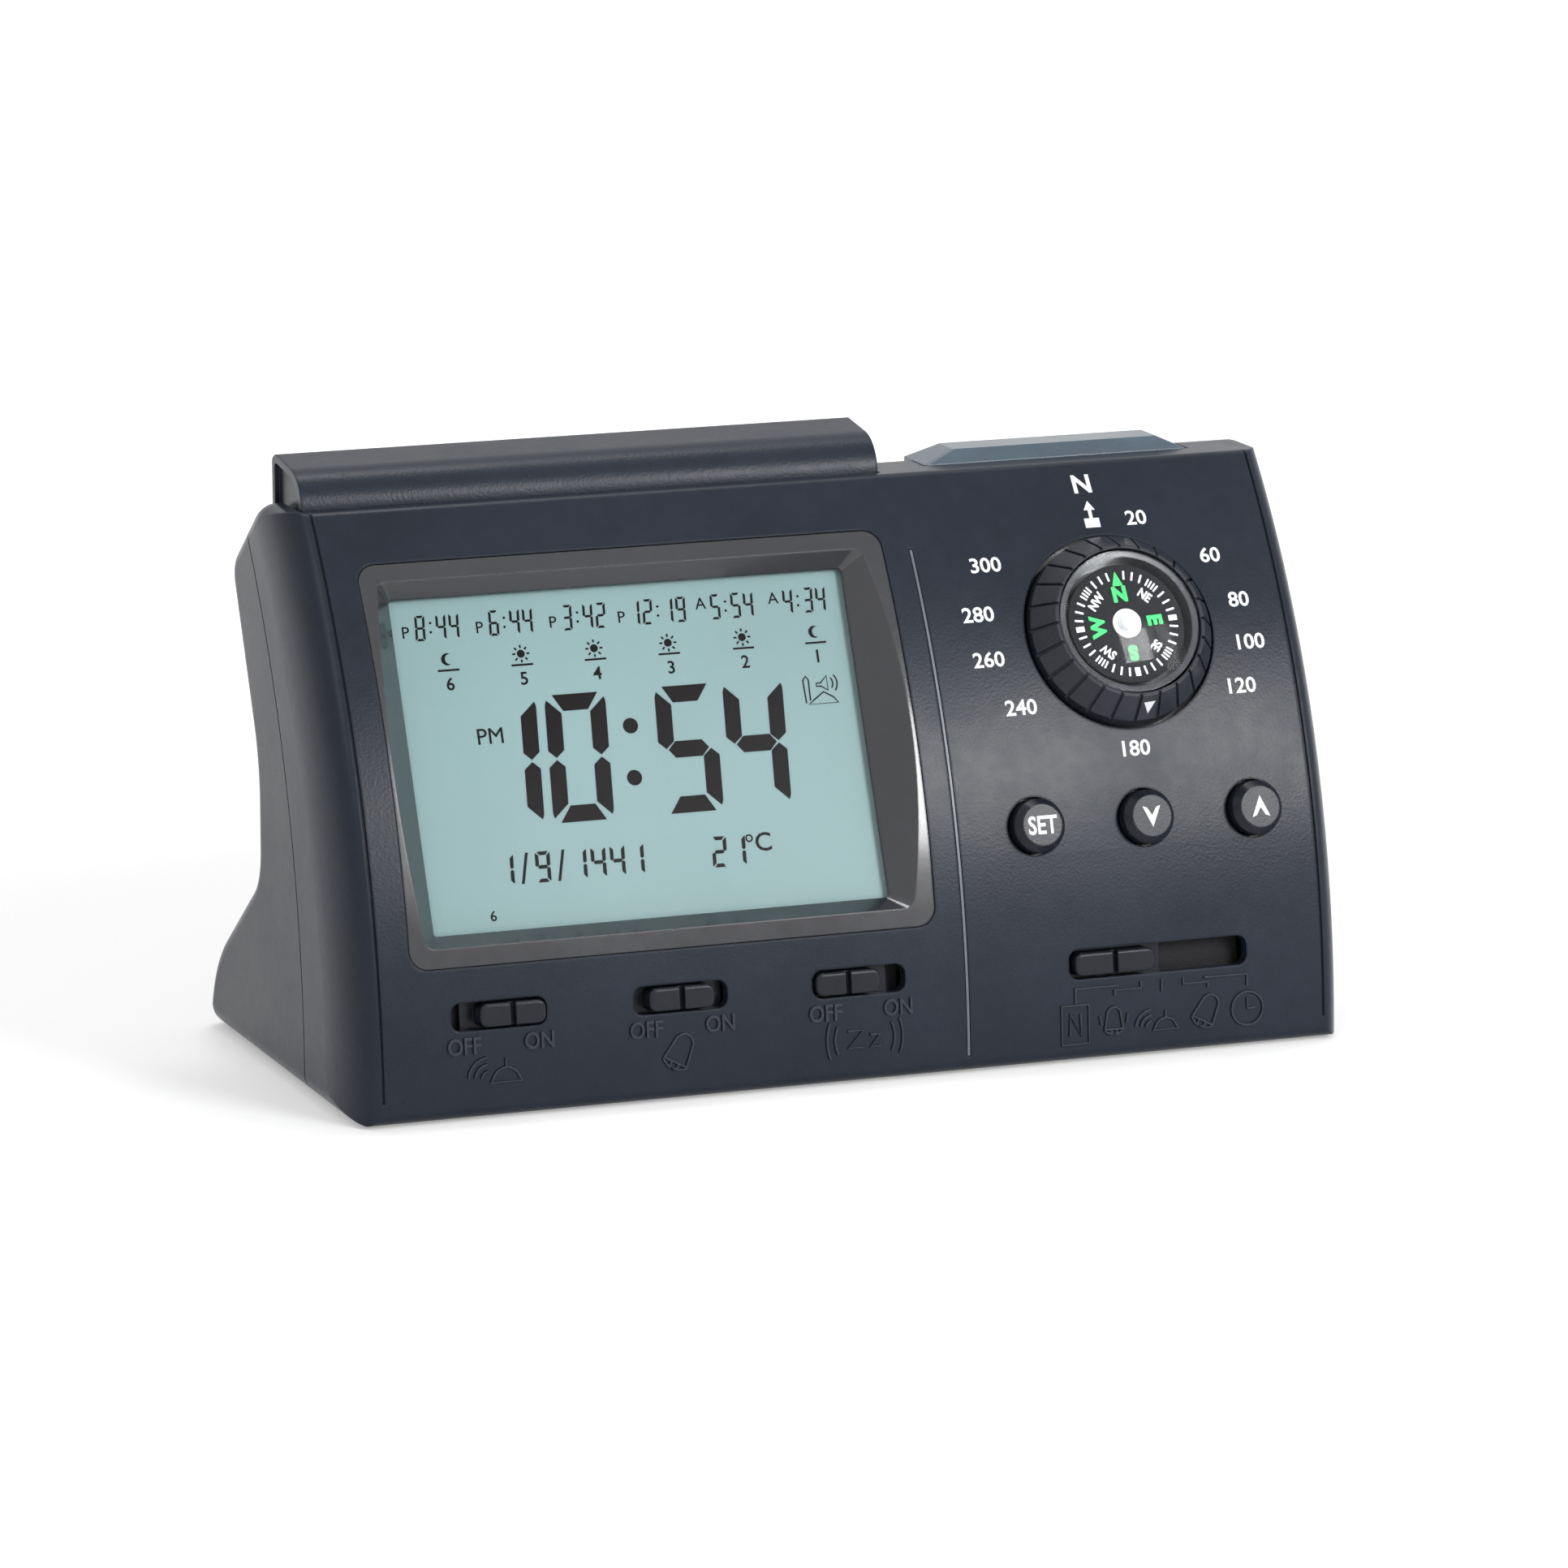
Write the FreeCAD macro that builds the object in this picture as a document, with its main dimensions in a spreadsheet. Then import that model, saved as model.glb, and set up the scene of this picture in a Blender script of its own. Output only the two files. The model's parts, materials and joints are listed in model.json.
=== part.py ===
import FreeCAD, Part
import math
import os
import Sketcher
from FreeCAD import Placement, Rotation, Vector

# Desk clock with a tilted display, a compass and a row of slide switches.
# +Z is up, the front faces -Y and the origin is under the middle, on the surface it stands on.
# All lengths are in millimetres and all angles in degrees.

SIZES = {
    # Case outline, seen from the side
    "case_half_wide": 81.35,
    "case_top": 87.5,
    "case_base": 0.5,
    "wall": 2.2,
    "face_radius": 140.3,
    "face_axis_back": 103.55,
    "face_axis_drop": 2.2,
    "land_back": 8.0,
    "land_round": 8.0,
    "shoulder_back": 22.55,
    "shoulder_up": 76.1,
    "shoulder_round": 5.0,
    "waist_back": 9.95,
    "waist_high": 47.0,
    "waist_high_round": 28.0,
    "waist_low": 29.5,
    "waist_low_round": 8.0,
    "foot_bend_back": 33.6,
    "foot_bend_up": 12.0,
    "foot_bend_round": 22.0,
    "foot_back": 37.6,
    "base_round": 3.2,
    # Case edges
    "edge_wide": 4.65,
    "edge_deep": 12.3,
    "front_round": 1.6,
    "side_round": 3.0,
    "groove_wide": 0.4,
    "groove_deep": 0.35,
    "groove_start": 4.0,
    # Seam between the two case halves
    "seam_radius": 136.0,
    "seam_axis_back": 122.55,
    "seam_axis_up": 2.8,
    "seam_gap": 0.24,
    # Display, centred at panel_left of the middle
    "panel_left": 29.9,
    "panel_up": 53.1,
    "panel_sink": 5.77,
    "glass_half_wide": 36.35,
    "glass_half_high": 25.65,
    "bezel_side_left": 41.56,
    "bezel_side_right": 42.62,
    "bezel_half_high": 31.0,
    "bezel_corner": 3.0,
    "bezel_lip": 0.5,
    "bezel_gap": 0.12,
    "stack_gap": 0.05,
    "window_wide": 80.0,
    "window_high": 58.6,
    "window_thick": 1.0,
    "lcd_wide": 77.0,
    "lcd_high": 55.6,
    "lcd_thick": 2.6,
    "guide_wide": 74.0,
    "guide_high": 52.0,
    "guide_thick": 3.2,
    "zebra_wide": 70.0,
    "zebra_high": 1.6,
    "board_wide": 78.0,
    "board_high": 57.0,
    "board_thick": 1.6,
    "chip_thick": 1.5,
    "chip_side": 14.0,
    "chip_spread": 22.0,
    # Divider line beside the display
    "divider_across": 17.2,
    "divider_wide": 0.4,
    "divider_high": 77.0,
    "divider_low": 3.0,
    "divider_deep": 0.45,
    # Push buttons
    "button_first": 30.2,
    "button_pitch": 18.15,
    "button_up": 36.6,
    "button_hole": 4.5,
    "button_gap": 0.35,
    "button_proud": 3.0,
    "button_travel": 1.0,
    "cap_top": 3.2,
    "cap_chamfer": 1.3,
    "flange_lap": 0.9,
    "flange_thick": 0.9,
    "stem_radius": 2.2,
    "stem_long": 2.0,
    "pad_thick": 0.8,
    "dome_radius": 3.0,
    "dome_thick": 0.4,
    "dome_gap": 0.2,
    "control_wide": 43.5,
    "control_high": 13.0,
    "post_radius": 1.8,
    "post_gap": 0.4,
    # Compass
    "compass_across": 48.6,
    "compass_up": 63.8,
    "compass_hole": 15.6,
    "cup_lap": 1.6,
    "cup_rim": 3.3,
    "cup_floor": 5.0,
    "cup_thick": 1.2,
    "ring_outer": 14.9,
    "ring_shoulder": 0.9,
    "ring_top_radius": 12.2,
    "ring_top": 4.9,
    "ring_gap": 0.35,
    "ring_seat": 0.3,
    "ring_grooves": 24,
    "ring_phase": 5.2,
    "notch_wide": 0.45,
    "notch_deep": 0.4,
    "capsule_radius": 11.3,
    "capsule_wall": 1.0,
    "capsule_floor": 1.0,
    "capsule_rim": 4.2,
    "dome_top": 7.0,
    "dome_wall": 0.8,
    "dome_curve": 28.4,
    "card_radius": 9.4,
    "card_under": 2.7,
    "card_thick": 0.4,
    "card_bore": 0.8,
    "pin_radius": 0.35,
    "pin_foot": 1.6,
    "jewel_radius": 1.5,
    "jewel_gap": 0.15,
    # Slide switches
    "slot_up": 15.95,
    "slot_wide": 15.1,
    "slot_high": 4.3,
    "slot_round": 1.6,
    "slot_first": 58.0,
    "slot_pitch": 28.8,
    "knob_half": 5.2,
    "knob_high": 3.5,
    "knob_proud": 0.9,
    "knob_notch": 0.9,
    "knob_notch_deep": 1.4,
    "knob_round": 0.45,
    "knob_corner": 1.2,
    "switch_travel": 4.0,
    "mode_across": 48.95,
    "mode_drop": 0.55,
    "mode_wide": 29.7,
    "mode_high": 4.6,
    "mode_half": 6.6,
    "mode_start": 0.75,
    "plate_lap": 2.2,
    "plate_high": 6.0,
    "plate_thick": 0.8,
    "slide_gap": 0.4,
    "body_thick": 4.6,
    "body_high": 6.6,
    "switch_board_inset": 11.35,
    "switch_board_high": 9.4,
    # Snooze bar and light button on top
    "bar_left": 77.2,
    "bar_right": 15.7,
    "bar_front": 2.3,
    "bar_back": 12.2,
    "bar_under": 84.5,
    "bar_top": 94.2,
    "bar_rise": 1.8,
    "bar_round": 6.0,
    "bar_foot_round": 0.3,
    "bar_back_round": 1.6,
    "bar_rim": 1.3,
    "bar_recess": 0.8,
    "bar_travel": 1.5,
    "key_gap": 0.35,
    "key_left": 24.8,
    "key_right": 68.8,
    "key_front": 0.8,
    "key_back": 9.8,
    "key_proud": 2.0,
    "key_slope_left": 5.2,
    "key_slope_right": 4.4,
    "key_slope_side": 1.6,
    "key_round": 0.4,
    "key_board_inset": 15.35,
    "key_board_front": 0.5,
    "key_board_back": 12.0,
    "tact_side": 6.0,
    "tact_high": 3.5,
    "tact_gap": 0.5,
    "rib_wide": 3.0,
    "rib_spread": 41.0,
    "rib_root": 1.0,
    "rib_long": 3.0,
    # Speaker on the back wall
    "speaker_inset": 31.35,
    "speaker_up": 58.5,
    "speaker_radius": 14.0,
    "speaker_rim": 1.5,
    "speaker_deep": 6.0,
    "speaker_wall": 0.8,
    "speaker_step": 2.0,
    "cone_gap": 0.1,
    "cone_thick": 0.4,
    "magnet_radius": 7.0,
    "magnet_lap": 1.0,
    "magnet_thick": 4.0,
    "sound_radius": 10.5,
    "sound_pitch": 2.8,
    "sound_slot": 1.4,
    # Batteries and their door in the foot
    "cell_radius": 7.1,
    "cell_long": 50.5,
    "nub_radius": 2.73,
    "nub_long": 1.2,
    "cell_back": 18.6,
    "cell_up": 10.4,
    "tray_gap": 0.25,
    "tray_wall": 1.1,
    "contact_room": 3.8,
    "contact_thick": 0.4,
    "contact_side": 10.0,
    "contact_radius": 3.2,
    "door_half_wide": 54.0,
    "door_middle_back": 21.0,
    "door_half_high": 9.0,
    "door_thick": 1.8,
    "door_gap": 0.3,
    "hinge_along": 8.0,
    "hinge_deep": 1.6,
    "barrel_radius": 1.5,
    "hinge_pin_radius": 1.0,
    "hinge_pin_long": 3.0,
    "hinge_fit": 0.05,
    "lug_radius": 2.6,
    # Screws and feet
    "screw_inset": 6.15,
    "screw_high": 66.0,
    "screw_low": 45.0,
    "screw_post": 3.3,
    "screw_sink": 3.0,
    "screw_head": 2.6,
    "screw_head_thick": 1.8,
    "screw_radius": 1.4,
    "screw_long": 20.0,
    "cross_arm": 1.7,
    "cross_half": 0.34,
    "cross_deep": 0.9,
    "screw_gap": 0.06,
    "pad_radius": 4.5,
    "pad_deep": 0.8,
    "pad_gap": 0.1,
    "pad_inset": 13.35,
    "pad_front": 29.0,
    "pad_back": 28.5,
}

doc = FreeCAD.newDocument("desk_clock")
sheet = doc.addObject("Spreadsheet::Sheet", "Dims")
for row, (alias, amount) in enumerate(SIZES.items(), start=1):
    sheet.set("A%d" % row, alias)
    sheet.set("B%d" % row, str(amount))
    sheet.setAlias("B%d" % row, alias)
doc.recompute()

NODES = []


def size(alias):
    """One driving dimension, read from the sheet."""
    return float(sheet.get(alias))


def keep(piece, frame=None):
    """Lists a finished sub-part, set in its place."""
    if frame is not None:
        piece.Placement = frame
    NODES.append(piece)
    return piece


def shaped(label, shape):
    """A sub-part with a shape made from curves, in the part's own frame."""
    piece = doc.addObject("Part::Feature", label)
    piece.Label = label
    piece.Shape = shape
    return keep(piece)


def box(label, lengths, corner, frame):
    """A block bound to the sheet, with its low corner at a point of a frame."""
    block = doc.addObject("Part::Box", label)
    block.Label = label
    for side, text in zip(("Length", "Width", "Height"), lengths):
        block.setExpression(side, text)
    block.Placement = frame.multiply(Placement(Vector(*corner), Rotation()))
    return block


def group(label, members):
    """Like pieces that share one node."""
    bundle = doc.addObject("Part::Compound", label)
    bundle.Label = label
    bundle.Links = members
    return keep(bundle)


def draw(sketch, outline):
    """A closed outline of straight lines whose every corner is bound to the sheet."""
    count = len(outline)
    guess = []
    reach = half_wide / 8
    for index in range(count):
        turn = 2 * math.pi * index / count
        guess.append(Vector((3 + math.cos(turn)) * reach, (3 + math.sin(turn)) * reach, 0))
    for index in range(count):
        sketch.addGeometry(Part.LineSegment(guess[index], guess[(index + 1) % count]), False)
    for index in range(count):
        sketch.addConstraint(Sketcher.Constraint("Coincident", index, 2, (index + 1) % count, 1))
    for index, corner in enumerate(outline):
        for kind, text, start in zip(("DistanceX", "DistanceY"), corner, (guess[index].x, guess[index].y)):
            if text == "0":
                axis = -2 if kind == "DistanceX" else -1
                sketch.addConstraint(Sketcher.Constraint("PointOnObject", index, 1, axis))
            else:
                place = sketch.addConstraint(Sketcher.Constraint(kind, -1, 1, index, 1, start))
                sketch.setExpression("Constraints[%d]" % place, text)


def sketched(body, role, outline):
    """A sketch of an outline on one of a body's own planes."""
    sketch = body.newObject("Sketcher::SketchObject", body.Name + "_outline")
    plane = [part for part in body.Origin.OriginFeatures if part.Role == role][0]
    sketch.AttachmentSupport = (plane, [""])
    sketch.MapMode = "FlatFace"
    draw(sketch, outline)
    return sketch


def turned(label, outline, frame):
    """A body turned about its Z axis from (radius, height) corners."""
    body = doc.addObject("PartDesign::Body", label)
    body.Label = label
    sketch = sketched(body, "XZ_Plane", outline)
    turn = body.newObject("PartDesign::Revolution", label + "_turn")
    turn.Profile = sketch
    turn.ReferenceAxis = (sketch, ["V_Axis"])
    turn.Angle = 360
    return keep(body, frame)


def outline_wire(corners):
    """A closed wire in the XY plane through (x, y, radius) corners, rounded by tangent arcs."""
    count = len(corners)
    edges = []
    joints = []
    for index, (x, y, radius) in enumerate(corners):
        here = Vector(x, y, 0)
        back = (Vector(*corners[index - 1][:2], 0) - here).normalize()
        ahead = (Vector(*corners[(index + 1) % count][:2], 0) - here).normalize()
        half = back.getAngle(ahead) / 2
        if radius < 0.01:
            joints.append((here, here, None))
            continue
        reach = radius / math.tan(half)
        centre = here + (back + ahead).normalize() * (radius / math.sin(half))
        middle = centre + (here - centre).normalize() * radius
        joints.append((here + back * reach, here + ahead * reach, middle))
    for index, (start, end, middle) in enumerate(joints):
        if middle is not None:
            edges.append(Part.Arc(start, middle, end).toShape())
        edges.append(Part.LineSegment(end, joints[(index + 1) % count][0]).toShape())
    return Part.Wire(edges)


def slab(corners, low, high):
    """A plate between two heights, with rounded corners."""
    plate = Part.Face(outline_wire(corners)).extrude(Vector(0, 0, high - low))
    plate.translate(Vector(0, 0, low))
    return plate


def rectangle(left, right, low, high, radius):
    """The four corners of a rounded rectangle."""
    return [(left, low, radius), (right, low, radius), (right, high, radius), (left, high, radius)]


def lengthwise(corners, left, right):
    """A bar along X whose section has (y, z, radius) corners."""
    bar = slab(corners, 0, right - left)
    bar.Placement = Placement(Vector(left, 0, 0), Rotation(Vector(1, 1, 1), 120))
    return bar


def placed(shape, frame):
    """A copy of a shape set into a frame."""
    copy = shape.copy()
    copy.Placement = frame.multiply(copy.Placement)
    return copy


def rod(radius, low, high):
    """A round bar along Z."""
    return Part.makeCylinder(radius, high - low, Vector(0, 0, low))


def rod_across(radius, back, up, left, right):
    """A round bar along X."""
    return Part.makeCylinder(radius, right - left, Vector(left, back, up), Vector(1, 0, 0))


def block(left, right, low, high, under, over):
    """A plain block between three pairs of planes."""
    return Part.makeBox(right - left, high - low, over - under, Vector(left, low, under))


# Values shared by many sub-parts
half_wide = size("case_half_wide")
face_half = half_wide - size("edge_wide")
top = size("case_top")
base = size("case_base")
wall = size("wall")
radius = size("face_radius")
axis_back = size("face_axis_back")
axis_up = -size("face_axis_drop")
FAR = 200.0


def face_frame(across, up, sink=0.0):
    """A frame on the front face: X to the right, Y up the slope and Z outwards."""
    lean = math.asin((up - axis_up) / radius)
    rotation = Rotation(Vector(1, 0, 0), 90 - math.degrees(lean))
    point = Vector(across, axis_back - radius * math.cos(lean), up)
    return Placement(point - rotation.multVec(Vector(0, 0, sink)), rotation)


def rear_frame(across, low, high, up):
    """A frame on the straight back wall between two outline corners, with Z outwards."""
    run = (Vector(0, *low) - Vector(0, *high)).normalize()
    outwards = Vector(0, -run.z, run.y)
    share = (up - high[1]) / (low[1] - high[1])
    back = high[0] + share * (low[0] - high[0])
    rotation = Rotation(Vector(1, 0, 0), outwards.cross(Vector(1, 0, 0)), outwards, "XZY")
    return Placement(Vector(across, back, up), rotation)


# Case envelope
side_corners = [
    (-FAR / 2, base, 0),
    (-FAR / 2, top, 0),
    (size("land_back"), top, size("land_round")),
    (size("shoulder_back"), size("shoulder_up"), size("shoulder_round")),
    (size("waist_back"), size("waist_high"), -size("waist_high_round")),
    (size("waist_back"), size("waist_low"), -size("waist_low_round")),
    (size("foot_bend_back"), size("foot_bend_up"), size("foot_bend_round")),
    (size("foot_back"), base, size("base_round")),
]


def inset_corners(corners, inset):
    """The same outline moved inwards; hollow corners, marked by a minus sign, grow rounder."""
    count = len(corners)
    lines = []
    for index in range(count):
        start = Vector(*corners[index][:2], 0)
        run = (Vector(*corners[(index + 1) % count][:2], 0) - start).normalize()
        lines.append((start + Vector(run.y, -run.x, 0) * inset, run))
    moved = []
    for index in range(count):
        (before, run), (start, ahead) = lines[index - 1], lines[index]
        gap = start - before
        reach = (gap.x * ahead.y - gap.y * ahead.x) / (run.x * ahead.y - run.y * ahead.x)
        corner = before + run * reach
        rounding = corners[index][2]
        rounding = max(rounding - inset, 0) if rounding >= 0 else inset - rounding
        moved.append((corner.x, corner.y, rounding))
    return moved


def side_limit(inset):
    """A ring about the face's axis that rounds the case's front side edges."""
    outer = half_wide - inset
    flat = face_half - inset
    reach = radius - inset
    crease = reach - size("edge_deep")
    flare = 3.0
    hollow = (axis_back - size("foot_back")) / 2
    edges = []
    for sign in (-1, 1):
        centre = Vector(sign * flat, -crease, 0)
        tip = Vector(sign * flat, -reach, 0)
        bulge = Vector(sign * outer, -crease, 0)
        curve = Part.ArcOfEllipse(Part.Ellipse(tip, bulge, centre), 0, math.pi / 2)
        edges.append(curve.toShape())
        points = [tip, Vector(sign * flat, -reach - flare, 0)]
        edges.append(Part.makeLine(*points))
        spread = Vector(sign * (outer + flare), -crease + flare, 0)
        edges.append(Part.makeLine(bulge, spread))
        edges.append(Part.makeLine(spread, Vector(spread.x, -hollow, 0)))
    edges.append(Part.makeLine(Vector(-flat, -reach - flare, 0), Vector(flat, -reach - flare, 0)))
    spread = outer + flare
    edges.append(Part.makeLine(Vector(-spread, -hollow, 0), Vector(spread, -hollow, 0)))
    section = Part.Face(Part.Wire(Part.__sortEdges__(edges)))
    ring = section.revolve(Vector(0, 0, 0), Vector(1, 0, 0), 360)
    ring.translate(Vector(0, axis_back, axis_up))
    return ring


def edges_at(shape, places):
    """The straight edges along X that pass through the given (y, z) places."""
    found = []
    for edge in shape.Edges:
        ends = [vertex.Point for vertex in edge.Vertexes]
        if len(ends) != 2 or abs((ends[1] - ends[0]).x) < half_wide:
            continue
        if any(abs(ends[0].y - y) + abs(ends[0].z - z) < 0.05 for y, z in places):
            found.append(edge)
    return found


def envelope(inset):
    """The case's outer shape, moved inwards by a wall."""
    corners = inset_corners(side_corners, inset)
    solid = lengthwise([(y, z, r) for y, z, r in corners], inset - half_wide, half_wide - inset)
    if inset == 0:
        rims = []
        for edge in solid.Edges:
            ends = [vertex.Point for vertex in edge.Vertexes]
            if abs(ends[0].x - ends[-1].x) < 0.01 and max(point.y for point in ends) > -FAR / 4:
                rims.append(edge)
        solid = solid.makeFillet(size("side_round"), rims)
    reach = radius - inset
    solid = solid.common(rod_across(reach, axis_back, axis_up, -FAR, FAR))
    if inset == 0:
        places = []
        for up in (base, top):
            places.append((axis_back - math.sqrt(reach ** 2 - (up - axis_up) ** 2), up))
        solid = solid.makeFillet(size("front_round"), edges_at(solid, places))
    return solid.common(side_limit(inset))


outer = envelope(0)
inner = envelope(wall)


def seam(shift):
    """The drum whose surface parts the case into a front and a rear half."""
    return rod_across(size("seam_radius") + shift, size("seam_axis_back"), size("seam_axis_up"), -FAR, FAR)


front_block = outer.cut(seam(size("seam_gap") / 2))
rear_block = outer.common(seam(-size("seam_gap") / 2))

# Frames
shoulder = (size("shoulder_back"), size("shoulder_up"))
waist = (size("waist_back"), size("waist_high"))
waist_foot = (size("waist_back"), size("waist_low"))
panel = face_frame(-size("panel_left"), size("panel_up"), size("panel_sink"))
compass = face_frame(size("compass_across"), size("compass_up"))
switches = face_frame(0, size("slot_up"))
speaker = rear_frame(half_wide - size("speaker_inset"), waist, shoulder, size("speaker_up"))
button_places = [size("button_first") + index * size("button_pitch") for index in range(3)]
controls = face_frame(button_places[1], size("button_up"))
slot_places = [-size("slot_first") + index * size("slot_pitch") for index in range(3)]

# Openings in the case
bezel_left = -size("bezel_side_left")
bezel_right = size("bezel_side_right")
bezel_high = size("bezel_half_high")
bar_left, bar_right = -size("bar_left"), size("bar_right")
bar_front, bar_back = -size("bar_front"), size("bar_back")
key_gap = size("key_gap")


def display_opening(shrink):
    """The rounded opening for the display, in the panel's frame."""
    corners = rectangle(bezel_left + shrink, bezel_right - shrink, shrink - bezel_high,
                        bezel_high - shrink, size("bezel_corner") - shrink)
    return slab(corners, -size("panel_sink"), 2 * size("panel_sink"))


def slot_cut(across, rise, wide, high):
    """One switch slot through the face, in the frame of the switches."""
    corners = rectangle(across - wide / 2, across + wide / 2, rise - high / 2, rise + high / 2,
                        size("slot_round"))
    return placed(slab(corners, -2 * wall, 2 * wall), switches)


def face_ring(left, right, deep):
    """A shallow groove about the face's axis between two planes."""
    ring = rod_across(radius + wall, axis_back, axis_up, left, right)
    return ring.cut(rod_across(radius - deep, axis_back, axis_up, left - 1, right + 1))


def well(left, right, front, back):
    """An upright opening in the top of the case."""
    return block(left - key_gap, right + key_gap, front - key_gap, back + key_gap,
                 size("bar_under") - 2 * wall, FAR)


wells = [well(bar_left, bar_right, bar_front, bar_back),
         well(size("key_left"), size("key_right"), size("key_front"), size("key_back"))]
screw_frames = []
for sign in (-1, 1):
    across = sign * (half_wide - size("screw_inset"))
    screw_frames.append(rear_frame(across, waist, shoulder, size("screw_high")))
    screw_frames.append(rear_frame(across, waist_foot, waist, size("screw_low")))
screw_posts = [placed(rod(size("screw_post"), -FAR / 2, 0), frame) for frame in screw_frames]
screw_bore = rod(size("screw_radius") + size("screw_gap"), -size("screw_sink") - size("screw_long") - 1, 0)
screw_bores = [placed(screw_bore, frame) for frame in screw_frames]
screw_sink = rod(size("screw_head") + size("screw_gap"), -size("screw_sink"), wall)
pad_places = []
pad_across = half_wide - size("pad_inset")
for across in (-pad_across, pad_across):
    for back in (-size("pad_front"), size("pad_back")):
        pad_places.append(Vector(across, back, 0))
pad_pockets = []
for place in pad_places:
    pocket = rod(size("pad_radius") + size("pad_gap"), -1, base + size("pad_deep"))
    pocket.translate(place)
    pad_pockets.append(pocket)

# Depths behind the face, each from what lies in front of it
flange_over = -(wall + size("slide_gap"))
flange_under = flange_over - size("flange_thick")
stem_under = flange_under - size("stem_long")
pad_over = stem_under - size("button_travel") - size("dome_gap") - size("dome_thick")
control_over = pad_over - size("pad_thick") - size("stack_gap")
plate_over = -(wall + size("slide_gap"))
plate_under = plate_over - size("plate_thick")
body_over = plate_under - size("slide_gap")
switch_board_over = body_over - size("body_thick") - size("stack_gap")

control_posts = []
for shift in (-size("button_pitch") / 2, size("button_pitch") / 2):
    post = rod(size("post_radius"), control_over + size("stack_gap"), -wall / 2)
    post.translate(Vector(shift, 0, 0))
    control_posts.append(placed(post, controls))
switch_posts = []
post_places = [(slot_places[0] + slot_places[1]) / 2, (slot_places[1] + slot_places[2]) / 2,
               (slot_places[2] + size("mode_across")) / 2 - size("plate_high") / 2]
for across in post_places:
    post = rod(size("post_radius"), switch_board_over + size("stack_gap"), -wall / 2)
    post.translate(Vector(across, 0, 0))
    switch_posts.append(placed(post, switches))


def front_case():
    """The front half: curved face, side walls and the front of the top and the base."""
    shell = front_block.cut(inner)
    for post in screw_posts:
        shell = shell.fuse(post.common(front_block))
    for post in control_posts + switch_posts:
        shell = shell.fuse(post)
    cuts = [placed(display_opening(0), panel)]
    for across in slot_places:
        cuts.append(slot_cut(across, 0, size("slot_wide"), size("slot_high")))
    cuts.append(slot_cut(size("mode_across"), -size("mode_drop"), size("mode_wide"), size("mode_high")))
    for across in button_places:
        hole = rod(size("button_hole"), -2 * wall, 2 * wall)
        cuts.append(placed(hole, face_frame(across, size("button_up"))))
    cuts.append(placed(rod(size("compass_hole"), -3 * wall, 3 * wall), compass))
    for sign in (-1, 1):
        sides = sorted((sign * face_half, sign * (face_half - size("groove_wide"))))
        groove = face_ring(sides[0], sides[1], size("groove_deep"))
        cuts.append(groove.common(block(-FAR, FAR, -FAR, 0, size("groove_start"), FAR)))
    cuts.append(divider(size("seam_gap") / 2))
    return shell.cut(cuts + wells + screw_bores + pad_pockets).removeSplitter()


def divider(spare):
    """The strip let into the face between the display and the compass."""
    left = size("divider_across") - size("divider_wide") / 2 - spare
    right = size("divider_across") + size("divider_wide") / 2 + spare
    ring = face_ring(left, right, size("divider_deep") + spare)
    return ring.common(block(-FAR, FAR, -FAR, 0, size("divider_low") - spare, size("divider_high") + spare))


# Battery door: its frame lies on the slope of the foot
foot_bend = (size("foot_bend_back"), size("foot_bend_up"))
slope = (foot_bend[1] - waist_foot[1]) / (foot_bend[0] - waist_foot[0])
door_up = waist_foot[1] + slope * (size("door_middle_back") - waist_foot[0])
door = rear_frame(0, foot_bend, waist_foot, door_up)
door_half = size("door_half_wide")
door_down = size("door_half_high")
hinge = door.multVec(Vector(0, size("hinge_along"), -size("hinge_deep")))


def hinge_rod(amount, left, right):
    """A round bar on the door's hinge line."""
    return rod_across(amount, hinge.y, hinge.z, left, right)


def rear_case():
    """The rear half: back wall, waist, foot with the battery bay and the back of the base."""
    shell = rear_block.cut(inner)
    for post in screw_posts:
        shell = shell.fuse(post.common(rear_block))
    gap = size("door_gap")
    lug_start = door_half + gap
    for sign in (-1, 1):
        sides = sorted((sign * lug_start, sign * (lug_start + size("hinge_pin_long"))))
        shell = shell.fuse(hinge_rod(size("lug_radius"), *sides).common(rear_block))
    board_over = size("bar_under") - size("bar_travel") - size("tact_gap") - size("tact_high")
    rib_half = size("rib_wide") / 2
    for index in range(4):
        across = (index - 1.5) * size("rib_spread")
        rib = block(across - rib_half, across + rib_half, size("key_board_back") - size("rib_root"),
                    size("key_board_back") + size("rib_long"), board_over, board_over + wall)
        shell = shell.fuse(rib.common(rear_block))
    cuts = [placed(block(-door_half - gap, door_half + gap, -door_down - gap, size("hinge_along"),
                         -2 * wall, 2 * wall), door)]
    cuts.append(hinge_rod(size("barrel_radius") + gap, -door_half - gap, door_half + gap))
    # The lip stands back so that the open door clears it
    relief = size("hinge_along") + size("hinge_deep") + gap
    cuts.append(placed(block(-door_half - gap, door_half + gap, size("hinge_along"), relief,
                             -size("hinge_deep"), wall), door))
    pin_end = door_half + size("hinge_pin_long") + size("hinge_fit")
    cuts.append(hinge_rod(size("hinge_pin_radius") + size("hinge_fit"), -pin_end, pin_end))
    for step in range(-3, 4):
        rise = step * size("sound_pitch")
        reach = math.sqrt(size("sound_radius") ** 2 - rise ** 2)
        slot = block(-reach, reach, rise - size("sound_slot") / 2, rise + size("sound_slot") / 2,
                     -2 * wall, wall)
        cuts.append(placed(slot, speaker))
    cuts += [placed(screw_sink, frame) for frame in screw_frames]
    return shell.cut(cuts + wells + screw_bores + pad_pockets).removeSplitter()


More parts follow.
